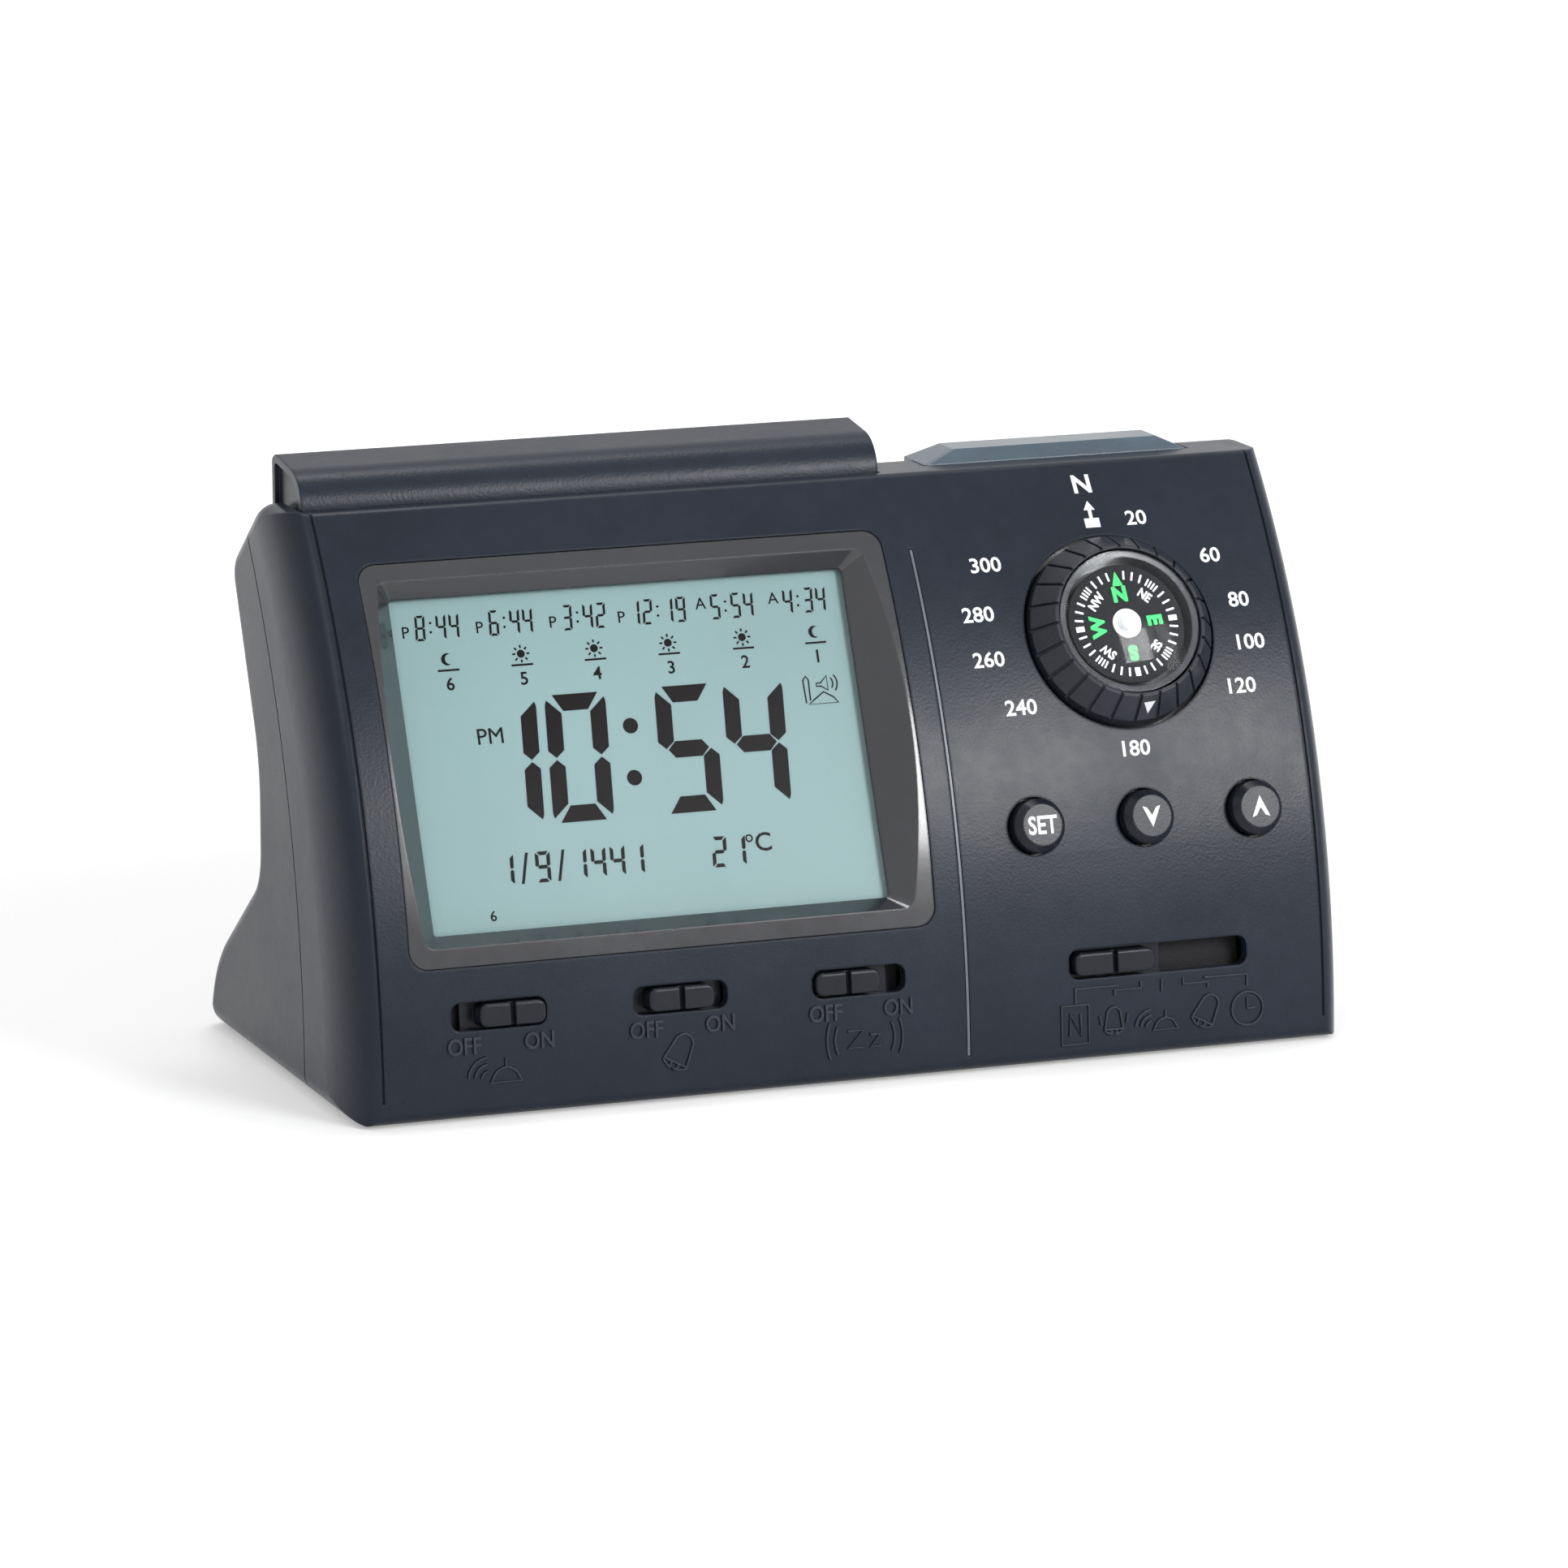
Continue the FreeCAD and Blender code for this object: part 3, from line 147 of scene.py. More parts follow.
class ClockSizes(bpy.types.PropertyGroup):
    """Sizes of the clock's marks and fine parts."""

    face_radius: length("Face radius", "Radius of the curved front", 140.3)
    face_back: length("Face axis back", "How far behind the middle the front's axis lies", 103.55)
    face_drop: length("Face axis drop", "How far under the table top the front's axis lies", 2.2)
    ink: length("Ink", "Thickness of a printed mark", 0.05)
    relief: length("Relief", "Height of a moulded mark", 0.42)
    mark_line: length("Mark line", "Width of the line of a moulded mark", 0.56)
    switch_word: length("Switch word", "Height of the words at the switches", 2.6)
    dial_figure: length("Dial figure", "Height of the figures round the compass", 2.5)
    panel_across: length("Display across", "Middle of the display, left of the middle", -29.9)
    panel_up: length("Display up", "Height on the face where the display is centred", 53.1)
    panel_sink: length("Display sink", "Depth of the window behind the face", 5.77)
    glass_sink: length("Glass sink", "Depth of the display glass behind the window's seat", 1.1)
    figure_high: length("Figure height", "Height of the large figures", 19.6)
    figure_wide: length("Figure width", "Width of the large figures", 9.7)
    figure_bar: length("Figure bar", "Width of a large figure's bars", 2.55)
    small_high: length("Small figure height", "Height of the small figures", 3.9)
    small_wide: length("Small figure width", "Width of the small figures", 1.55)
    compass_across: length("Compass across", "Middle of the compass, right of the middle", 48.6)
    compass_up: length("Compass up", "Height of the compass on the face", 63.8)
    card_height: length("Card height", "Height of the card's top over the face", 3.1)
    tick_radius: length("Tick radius", "Middle of the ring of ticks on the card", 7.75)
    door_back: length("Door back", "How far behind the middle the battery door is centred", 21.0)
    door_up: length("Door height", "Height of the battery door's middle", 21.3)
    cell_radius: length("Cell radius", "Radius of a battery cell", 7.1)
    cell_long: length("Cell length", "Length of a battery cell", 50.5)
    cell_back: length("Cell back", "How far behind the middle the cells lie", 18.6)
    cell_up: length("Cell height", "Height of the cells' axis", 10.4)
    band_long: length("Band length", "Length of a cell's copper band", 11.0)


class ClockColours(bpy.types.PropertyGroup):
    """Colours of the clock."""

    case: colour("Case", "Moulded case", (0.0105, 0.0145, 0.0245))
    bezel: colour("Bezel", "Display frame", (0.016, 0.017, 0.022))
    ring: colour("Ring", "Compass ring", (0.020, 0.022, 0.031))
    button: colour("Buttons", "Push buttons and slide knobs", (0.009, 0.011, 0.017))
    key: colour("Light button", "Smoky button on top", (0.055, 0.085, 0.115))
    display: colour("Display", "Unlit display glass", (0.315, 0.485, 0.495))
    segment: colour("Segments", "Lit segments", (0.006, 0.004, 0.005))
    white: colour("White print", "Printed marks", (0.82, 0.83, 0.84))
    green: colour("Green print", "Main letters of the compass card", (0.01, 0.62, 0.10))
    copper: colour("Copper band", "Band at a battery cell's plus end", (0.62, 0.27, 0.12))


class ClockSettings(bpy.types.PropertyGroup):
    """All settings of the clock."""

    sizes: PointerProperty(type=ClockSizes, name="Sizes", description="Sizes of marks and fine parts")
    colours: PointerProperty(type=ClockColours, name="Colours", description="Colours of the clock")


def sizes():
    """The sizes set in the sidebar."""
    return bpy.context.scene.desk_clock.sizes


def colours():
    """The colours set in the sidebar."""
    return bpy.context.scene.desk_clock.colours


# Shader nodes


def feed(tree, node, feeds):
    """Gives each named input of a node a value or another node's output."""
    for key, value in feeds.items():
        if isinstance(value, bpy.types.NodeSocket):
            tree.links.new(value, node.inputs[key])
        else:
            node.inputs[key].default_value = value


def add(tree, kind, feeds=None, **settings):
    """Adds a shader node with its settings and inputs."""
    made = tree.nodes.new("ShaderNode" + kind)
    for key, value in settings.items():
        setattr(made, key, value)
    feed(tree, made, feeds or {})
    return made


def coordinates(tree):
    """The object's own coordinates, so that a texture stays with a moving part."""
    return add(tree, "TexCoord").outputs["Object"]


def noise(tree, place, scale, detail=2.0, roughness=0.5):
    """The value of a noise texture."""
    feeds = {"Vector": place, "Scale": scale, "Detail": detail, "Roughness": roughness}
    return add(tree, "TexNoise", feeds).outputs["Fac"]


def calculate(tree, operation, *values, clamp=False):
    """The result of a sum on two or three values."""
    return add(tree, "Math", dict(enumerate(values)), operation=operation, use_clamp=clamp).outputs[0]


def rescale(tree, value, low, high, to_low=0.0, to_high=1.0):
    """A value carried over from one range to another and held inside it."""
    feeds = {"Value": value, "From Min": low, "From Max": high, "To Min": to_low, "To Max": to_high}
    return add(tree, "MapRange", feeds).outputs[0]


def ramp(tree, factor, stops):
    """A colour ramp from (position, grey or colour) stops."""
    made = add(tree, "ValToRGB", {"Fac": factor})
    elements = made.color_ramp.elements
    for element, (position, shade) in zip(elements, stops):
        element.position = position
        element.color = (*shade, 1) if hasattr(shade, "__len__") else (shade, shade, shade, 1)
    return made.outputs["Color"]


def new_group(name, inputs, outputs):
    """An empty node group with number inputs and named outputs."""
    tree = bpy.data.node_groups.new(name, "ShaderNodeTree")
    for label, value in inputs.items():
        socket = tree.interface.new_socket(name=label, in_out="INPUT", socket_type="NodeSocketFloat")
        socket.default_value = value
    for label, kind in outputs.items():
        tree.interface.new_socket(name=label, in_out="OUTPUT", socket_type="NodeSocket" + kind)
    return tree, tree.nodes.new("NodeGroupInput").outputs, tree.nodes.new("NodeGroupOutput")


def grain_group():
    """Fine moulded grain with broad smudges: a normal, a roughness and a mask of the smudges."""
    if "moulded_grain" in bpy.data.node_groups:
        return bpy.data.node_groups["moulded_grain"]
    tree, given, result = new_group(
        "moulded_grain",
        {"Scale": 2600.0, "Bump": 0.2, "Roughness": 0.4, "Spread": 0.08, "Edge": 0.0003},
        {"Normal": "Vector", "Roughness": "Float", "Smudge": "Float"})
    place = coordinates(tree)
    fine = noise(tree, place, scale=given["Scale"], detail=3.0, roughness=0.55)
    pores = add(tree, "TexVoronoi", {"Vector": place, "Scale": given["Scale"]}, feature="SMOOTH_F1")
    height = calculate(tree, "ADD", fine, pores.outputs["Distance"])
    soft = add(tree, "Bevel", {"Radius": given["Edge"]}, samples=BEVEL_SAMPLES)
    bump = add(tree, "Bump", {"Strength": given["Bump"], "Distance": 0.06 * MM, "Height": height,
                              "Normal": soft.outputs[0]})
    broad = noise(tree, place, scale=38.0, detail=5.0, roughness=0.62)
    streak = noise(tree, place, scale=420.0)
    smudge = rescale(tree, calculate(tree, "MULTIPLY_ADD", streak, 0.3, broad), 0.45, 0.85)
    swing = calculate(tree, "ADD", smudge, -0.5)
    rough = calculate(tree, "MULTIPLY_ADD", swing, given["Spread"], given["Roughness"], clamp=True)
    feed(tree, result, {"Normal": bump.outputs[0], "Roughness": rough, "Smudge": smudge})
    return tree


def wear_and_highlight_group():
    """A mask of edges, broken up by noise, that lightens them: partly wear rubbed by hands and cloths, partly
    a painted highlight.
    """
    if "rubbed_edges" in bpy.data.node_groups:
        return bpy.data.node_groups["rubbed_edges"]
    tree, given, result = new_group("rubbed_edges", {"Radius": 0.0005, "Amount": 0.5}, {"Mask": "Float"})
    place = coordinates(tree)
    soft = add(tree, "Bevel", {"Radius": given["Radius"]}, samples=BEVEL_SAMPLES)
    flat = add(tree, "NewGeometry").outputs["Normal"]
    along = add(tree, "VectorMath", {0: soft.outputs[0], 1: flat}, operation="DOT_PRODUCT")
    bent = rescale(tree, along.outputs["Value"], 0.995, 0.90)
    patch = rescale(tree, noise(tree, place, scale=240.0, detail=4.0), 0.42, 0.64)
    both = calculate(tree, "MULTIPLY", bent, patch)
    feed(tree, result, {"Mask": calculate(tree, "MULTIPLY", both, given["Amount"], clamp=True)})
    return tree


# Materials


def new_material(name):
    """An empty material with a Principled shader wired to its output."""
    made = bpy.data.materials.new(name)
    made.use_nodes = True
    tree = made.node_tree
    tree.nodes.clear()
    shader = add(tree, "BsdfPrincipled")
    output = add(tree, "OutputMaterial", {"Surface": shader.outputs[0]})
    return made, tree, shader, output


def grained(name, tint, roughness=0.4, scale=2600, bump=0.2, spread=0.1, edge=0.3, worn_and_highlit=0.35, lift=0.35,
            metallic=0.0, coat=0.0, level=0.5):
    """A moulded, cast or printed finish with grain and smudges, its edges lightened partly as rubbed wear and
    partly as a painted highlight.
    """
    made, tree, shader, _ = new_material(name)
    grain = add(tree, "Group", {"Scale": scale, "Bump": bump, "Roughness": roughness, "Spread": spread,
                                "Edge": edge * MM}, node_tree=grain_group()).outputs
    wear_and_highlight = add(tree, "Group", {"Amount": worn_and_highlit}, node_tree=wear_and_highlight_group())
    paler = tuple(min(1.0, part * (1 + lift)) for part in tint)
    # Paler edge colour: partly rubbed wear, partly a painted highlight.
    rubbed_and_highlit_tint = tuple(min(1.0, part * 2.2 + 0.015) for part in tint)
    base = ramp(tree, grain["Smudge"], [(0.0, tint), (1.0, paler)])
    top = add(tree, "MixRGB", {"Fac": wear_and_highlight.outputs["Mask"], "Color1": base, "Color2": (*rubbed_and_highlit_tint, 1)})
    feed(tree, shader, {"Base Color": top.outputs[0], "Roughness": grain["Roughness"],
                        "Normal": grain["Normal"], "Metallic": metallic, "Coat Weight": coat,
                        "Coat Roughness": COAT_ROUGHNESS, "Specular IOR Level": level})
    return made


def dome_plastic():
    """Clear moulded plastic that lets daylight through to the compass card."""
    made, tree, shader, output = new_material("dome_clear")
    tint = (0.98, 0.99, 1.0, 1)
    haze = noise(tree, coordinates(tree), scale=90.0, detail=5.0)
    feed(tree, shader, {"Base Color": tint, "Transmission Weight": 1.0, "IOR": 1.16,
                        "Specular IOR Level": 0.0, "Coat Weight": 0.1, "Coat Roughness": COAT_ROUGHNESS,
                        "Roughness": rescale(tree, haze, 0.4, 0.8, 0.004, 0.024)})
    path = add(tree, "LightPath")
    clear = add(tree, "BsdfTransparent", {"Color": tint})
    mixed = add(tree, "MixShader", {0: path.outputs["Is Shadow Ray"], 1: shader.outputs[0],
                                    2: clear.outputs[0]})
    feed(tree, output, {"Surface": mixed.outputs[0]})
    return made


def window_plastic():
    """The flat window: nearly invisible, with a faint sheen of its own."""
    made, tree, shader, _ = new_material("clear_window")
    haze = noise(tree, coordinates(tree), scale=70.0, detail=4.0)
    feed(tree, shader, {"Base Color": (0.05, 0.06, 0.06, 1), "Alpha": 0.04,
                        "Roughness": rescale(tree, haze, 0.0, 1.0, 0.08, 0.2)})
    return made


def display_glass():
    """The display's grey green glass, with fine speckle and soft clouds of darker and paler tone."""
    made, tree, shader, _ = new_material("lcd_glass")
    place = coordinates(tree)
    speckle = noise(tree, place, scale=3800.0)
    cloud = noise(tree, place, scale=22.0)
    mixed = calculate(tree, "MULTIPLY_ADD", speckle, 0.35, cloud)
    tint = colours().display
    darker = tuple(part * 0.94 for part in tint)
    paler = tuple(min(1.0, part * 1.05) for part in tint)
    bump = add(tree, "Bump", {"Strength": 0.05, "Distance": 0.02 * MM, "Height": speckle})
    feed(tree, shader, {"Base Color": ramp(tree, mixed, [(0.45, darker), (0.95, paler)]),
                        "Normal": bump.outputs[0], "Roughness": 0.55, "Specular IOR Level": 0.2})
    return made


def board_material():
    """Green circuit board with copper tracks under the lacquer."""
    made, tree, shader, _ = new_material("circuit_board")
    place = coordinates(tree)
    cells = add(tree, "TexVoronoi", {"Vector": place, "Scale": 420.0}, distance="CHEBYCHEV")
    tracks = ramp(tree, cells.outputs["Distance"], [(0.38, 0.0), (0.42, 1.0)])
    weave = noise(tree, place, scale=1800.0, detail=3.0)
    under = ramp(tree, weave, [(0.3, (0.012, 0.11, 0.05)), (0.7, (0.02, 0.17, 0.075))])
    top = add(tree, "MixRGB", {"Fac": tracks, "Color1": under, "Color2": (0.05, 0.27, 0.11, 1)})
    bump = add(tree, "Bump", {"Strength": 0.3, "Distance": 0.05 * MM, "Height": tracks})
    feed(tree, shader, {"Base Color": top.outputs[0], "Normal": bump.outputs[0], "Roughness": 0.35})
    return made


def finish(name):
    """The material of a slot or a mark, made when it is first asked for."""
    makers = {"circuit_board": board_material, "clear_window": window_plastic, "dome_clear": dome_plastic,
              "lcd_glass": display_glass}
    if name in bpy.data.materials:
        return bpy.data.materials[name]
    if name in makers:
        return makers[name]()
    values = dict(FINISHES[name])
    tint = values.pop("tint")
    if isinstance(tint, str):
        tint = getattr(colours(), tint)
    return grained(name, tint, **values)


# Mesh building


def mm(points):
    """Points given in millimetres, in metres."""
    return [(x * MM, y * MM) for x, y in points]


def box(left, low, right, high):
    """The corners of an upright rectangle."""
    return [(left, low), (right, low), (right, high), (left, high)]


def face_lean(up):
    """How far the front leans back at a height, as an angle about the front's axis."""
    size = sizes()
    return math.asin((up + size.face_drop) / size.face_radius)


def face_place(across, up, sink=0.0):
    """A frame on the curved front: X to the right, Y up the slope and Z outwards."""
    size = sizes()
    lean = face_lean(up)
    outwards = Vector((0, -math.cos(lean), math.sin(lean)))
    rise = Vector((0, math.sin(lean), math.cos(lean)))
    place = Matrix(((1, 0, 0), rise, outwards)).transposed().to_4x4()
    axis = Vector((across, size.face_back, -size.face_drop))
    place.translation = axis + outwards * (size.face_radius - sink)
    return place


def bend_on_face(bm, across, up, lift=0.0):
    """Lays a flat mesh on the curved front, its Z as height over the surface."""
    size = sizes()
    lean = face_lean(up)
    for vert in bm.verts:
        angle = lean + vert.co.y / size.face_radius
        reach = size.face_radius + vert.co.z + lift
        vert.co = (across + vert.co.x, size.face_back - reach * math.cos(angle),
                   reach * math.sin(angle) - size.face_drop)


def door_place(back, up):
    """A frame that leans like the battery door: X to the right, Y down towards the hinge, Z outwards."""
    place = Matrix.Rotation(math.radians(DOOR_LEAN), 4, "X")
    place.translation = (0, back, up)
    return place


def drape(bm, node, place, sink=0.0):
    """Lays a flat mesh on a CAD part, its Z as height over the surface."""
    solid = bmesh.new()
    solid.from_mesh(NODES[node].data)
    skin = BVHTree.FromBMesh(solid)
    solid.free()
    outwards = place.to_3x3() @ Vector((0, 0, 1))
    for vert in bm.verts:
        start = place @ Vector((vert.co.x, vert.co.y, 0)) + outwards * LOOK_DOWN * MM
        vert.co = skin.ray_cast(start, -outwards)[0] + outwards * (vert.co.z - sink)
    return bm


def shift(bm, x=0.0, y=0.0, z=0.0):
    """Moves a mesh."""
    bmesh.ops.translate(bm, verts=bm.verts, vec=(x, y, z))
    return bm


def turn(bm, degrees, axis="Z"):
    """Turns a mesh about an axis through the origin."""
    bm.transform(Matrix.Rotation(math.radians(degrees), 4, axis))
    return bm


def merge(parts):
    """Joins several meshes into the first."""
    whole = parts[0]
    for part in parts[1:]:
        spare = bpy.data.meshes.new("spare")
        part.to_mesh(spare)
        part.free()
        whole.from_mesh(spare)
        bpy.data.meshes.remove(spare)
    return whole


def from_curve(curve):
    """A mesh from a text or curve, its doubles merged."""
    holder = bpy.data.objects.new("outline", curve)
    bpy.context.scene.collection.objects.link(holder)
    bpy.context.view_layer.update()
    flat = bpy.data.meshes.new_from_object(holder.evaluated_get(bpy.context.evaluated_depsgraph_get()))
    bm = bmesh.new()
    bm.from_mesh(flat)
    bpy.data.objects.remove(holder)
    bpy.data.curves.remove(curve)
    bpy.data.meshes.remove(flat)
    bmesh.ops.remove_doubles(bm, verts=bm.verts, dist=SAME_POINT)
    return bm


def letters(words, high, weight=0.0, thick=None, narrow=1.0):
    """Letters as a thin solid, centred, standing on z 0, with capitals of the given height."""
    text = bpy.data.curves.new("letters", "FONT")
    text.body = words
    text.resolution_u = 3
    text.offset = weight
    bm = from_curve(text)
    low = min(vert.co.y for vert in bm.verts)
    tall = max(vert.co.y for vert in bm.verts) - low
    left = min(vert.co.x for vert in bm.verts)
    right = max(vert.co.x for vert in bm.verts)
    scale = high / tall
    shift(bm, -(left + right) / 2, -low - tall / 2)
    bmesh.ops.scale(bm, verts=bm.verts, vec=(scale * narrow, scale, 1))
    return thicken(bm, thick or sizes().ink)


def thicken(bm, thick):
    """Gives flat faces a body upwards from z 0."""
    bmesh.ops.recalc_face_normals(bm, faces=bm.faces)
    grown = bmesh.ops.extrude_face_region(bm, geom=bm.faces[:], use_keep_orig=True)
    lifted = [item for item in grown["geom"] if isinstance(item, bmesh.types.BMVert)]
    bmesh.ops.translate(bm, verts=lifted, vec=(0, 0, thick))
    bmesh.ops.recalc_face_normals(bm, faces=bm.faces)
    return bm


def plate(corners, thick=None):
    """A flat shape from its corners, as a thin solid."""
    bm = bmesh.new()
    bm.faces.new([bm.verts.new((x, y, 0)) for x, y in corners])
    return thicken(bm, thick or sizes().ink)


def disc(radius, sides=24):
    """A round spot of ink."""
    bm = bmesh.new()
    bmesh.ops.create_circle(bm, cap_ends=True, segments=sides, radius=radius)
    return thicken(bm, sizes().ink)


def sleeve(radius, thick, long):
    """A thin tube along X from x 0."""
    bm = bmesh.new()
    ring = [bm.verts.new((x, 0, z)) for x, z in box(0, radius, long, radius + thick)]
    edges = [bm.edges.new((ring[step], ring[step - 1])) for step in range(4)]
    bmesh.ops.spin(bm, geom=ring + edges, axis=(1, 0, 0), cent=(0, 0, 0), angle=2 * math.pi, steps=64)
    bmesh.ops.remove_doubles(bm, verts=bm.verts, dist=SAME_POINT)
    bmesh.ops.recalc_face_normals(bm, faces=bm.faces)
    return bm


def arc(x, y, radius, start, end, steps=10):
    """Points along an arc, in degrees from +X."""
    points = []
    for step in range(steps + 1):
        angle = math.radians(start + (end - start) * step / steps)
        points.append((x + radius * math.cos(angle), y + radius * math.sin(angle)))
    return points


def strokes(lines, wide, high):
    """Line art as raised beads: each line is a list of points in millimetres."""
    curve = bpy.data.curves.new("strokes", "CURVE")
    curve.dimensions = "3D"
    curve.bevel_depth = wide / 2
    curve.bevel_resolution = 1
    curve.use_fill_caps = True
    for points in lines:
        closed = points[0] == points[-1] and len(points) > 2
        if closed:
            points = points[:-1]
        spline = curve.splines.new("POLY")
        spline.points.add(len(points) - 1)
        for point, (x, y) in zip(spline.points, points):
            point.co = (x * MM, y * MM, 0, 1)
        spline.use_cyclic_u = closed
    bm = from_curve(curve)
    bmesh.ops.scale(bm, verts=bm.verts, vec=(1, 1, 2 * high / wide))
    bmesh.ops.recalc_face_normals(bm, faces=bm.faces)
    return bm


def piece(name, bm, look, body, smooth=30.0):
    """A finished piece that rides on a body; edges sharper than the angle stay crisp."""
    mesh = bpy.data.meshes.new(name)
    bm.to_mesh(mesh)
    bm.free()
    mesh.materials.append(finish(look))
    mesh.shade_smooth()
    mesh.set_sharp_from_angle(angle=math.radians(smooth))
    made = bpy.data.objects.new(name, mesh)
    bpy.context.scene.collection.objects.link(made)
    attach(made, body)


# Marks


def bell_mark(tilt):
    """A bell with a rim and a clapper, tilted by some degrees."""
    outline = [(-1.25, -1.0)] + arc(0, 0.9, 0.95, 180, 0, 8) + [(1.25, -1.0)]
    rim = arc(0, 0.1, 1.75, 221, 319, 8)
    lip = [(-1.25, -1.0), (1.25, -1.0)]
    clapper = arc(0, -1.25, 0.42, 150, 390, 6)
    cosine = math.cos(math.radians(tilt))
    sine = math.sin(math.radians(tilt))
    return [[(x * cosine - y * sine, x * sine + y * cosine) for x, y in line]
            for line in (outline, rim, lip, clapper)]


def dome_mark():
    """A dome with a point and sound waves beside it."""
    dome = [(-0.3, -1.3)] + arc(1.2, -1.3, 1.35, 160, 20, 8) + [(2.7, -1.3), (-0.3, -1.3)]
    point = [(1.2, 0.05), (1.2, 0.9)]
    waves = [arc(-0.5, -0.9, radius, 95, 175, 5) for radius in (0.7, 1.35, 2.0)]
    return [dome, point] + waves


def clock_mark():
    """A small round clock."""
    return [arc(0, 0, 1.75, 0, 360, 20), [(0, 1.05), (0, 0), (0.8, 0)]]


def ringing_mark():
    """An upright bell with a short line at each side."""
    return bell_mark(0) + [[(-1.95, 0.9), (-1.75, -0.3)], [(1.95, 0.9), (1.75, -0.3)]]


def number_mark():
    """A letter N in a frame."""
    return [box(-1.5, -2, 1.5, 2) + [(-1.5, -2)], [(-0.6, -1.1), (-0.6, 1.1), (0.6, -1.1), (0.6, 1.1)]]


def waves_mark():
    """Two waves at each side of a snooze sign."""
    bulge = 0.35
    lines = []
    for reach, high in ((3.0, 1.5), (3.9, 1.9)):
        for side in (-1, 1):
            lines.append([(side * (reach + bulge * (1 - (step / 4) ** 2)), high * step / 4)
                          for step in range(-4, 5)])
    large_z = [(-1.9, 0.9), (-0.2, 0.9), (-1.9, -0.9), (-0.2, -0.9)]
    small_z = [(0.6, 0.35), (1.7, 0.35), (0.6, -0.9), (1.7, -0.9)]
    return lines + [large_z, small_z]


def moulded(name, lines, across, up, grow=1.0):
    """Raised line art on the front, in the case's own plastic."""
    size = sizes()
    drawn = [[(x * grow, y * grow) for x, y in line] for line in lines]
    bm = strokes(drawn, size.mark_line, size.relief)
    sunk = size.relief * 0.15
    bend_on_face(bm, across * MM, up * MM, -sunk)
    piece(name, bm, "mark_plastic", "case", BEAD_ANGLE)


def figure(sign, wide, high, bar, gap):
    """One seven-segment figure standing on y 0, its left edge at x 0."""
    middle = high / 2
    half = bar / 2
    cut = 0.35 * bar
    side = [(0, middle + half), (half, middle + gap / 2), (bar, middle + half),
            (bar, high - bar - gap), (0.1 * bar, high - 0.3 * bar), (0, high - 0.6 * bar)]
    cap = [(cut + gap, high), (wide - cut - gap, high), (wide - bar - gap, high - bar),
           (bar + gap, high - bar)]
    bridge = [(half + gap, middle), (bar + gap / 2, middle + half), (wide - bar - gap / 2, middle + half),
              (wide - half - gap, middle), (wide - bar - gap / 2, middle - half),
              (bar + gap / 2, middle - half)]
    over = [(x, high - y) for x, y in side]
    shapes = {
        "F": side,
        "B": [(wide - x, y) for x, y in side],
        "E": over,
        "C": [(wide - x, y) for x, y in over],
        "A": cap,
        "D": [(x, high - y) for x, y in cap],
        "G": bridge,
    }
    return [plate(shapes[letter]) for letter in LIT[sign]]


def glass_piece(name, parts, across, rise, lean=0.0):
    """Segments on the display glass, leaned like italics; places are in millimetres from its middle."""
    size = sizes()
    bm = merge(parts)
    for vert in bm.verts:
        vert.co.x += vert.co.y * lean
    clear = size.ink * 0.1
    shift(bm, across * MM, rise * MM, clear)
    bm.transform(face_place(size.panel_across, size.panel_up, size.panel_sink + size.glass_sink))
    piece(name, bm, "segment_ink", "case")


def glass_lines(lines, wide):
    """Line art for the display glass, resting on z 0."""
    ink = sizes().ink
    return shift(strokes(lines, wide * MM, ink), z=ink)


def small_figures(signs, wide, high, bar, pitch):
    """Figures side by side, centred; a colon and a slash take less room."""
    steps = {":": 0.62, "/": 0.9}
    slash_wide = wide * 0.55
    slash_bar = bar * 0.8
    parts = []
    place = 0.0
    for sign in signs:
        step = pitch * steps.get(sign, 1.0)
        if sign == ":":
            for rise in (0.32, 0.68):
                parts.append(shift(disc(bar * 0.55, 8), place + step / 2, high * rise))
        elif sign == "/":
            slash = [(0, 0), (slash_bar, 0), (slash_wide, high), (slash_wide - slash_bar, high)]
            parts.append(shift(plate(slash), place + (step - slash_wide) / 2))
        else:
            for segment in figure(sign, wide, high, bar, bar * 0.22):
                parts.append(shift(segment, place + (step - wide) / 2))
        place += step
    for part in parts:
        shift(part, -place / 2, -high / 2)
    return parts


# Operators


class CLOCK_OT_finishes(bpy.types.Operator):
    """Gives every CAD part its own finish"""

    bl_idname = "clock.finishes"
    bl_label = "Finishes"

    def execute(self, context):
        for name, item in NODES.items():
            material = finish("dome_clear" if name == "compass_dome" else SLOT_OF_NODE[name])
            if not item.material_slots:
                item.data.materials.append(material)
            for place in item.material_slots:
                place.material = material
        return {"FINISHED"}


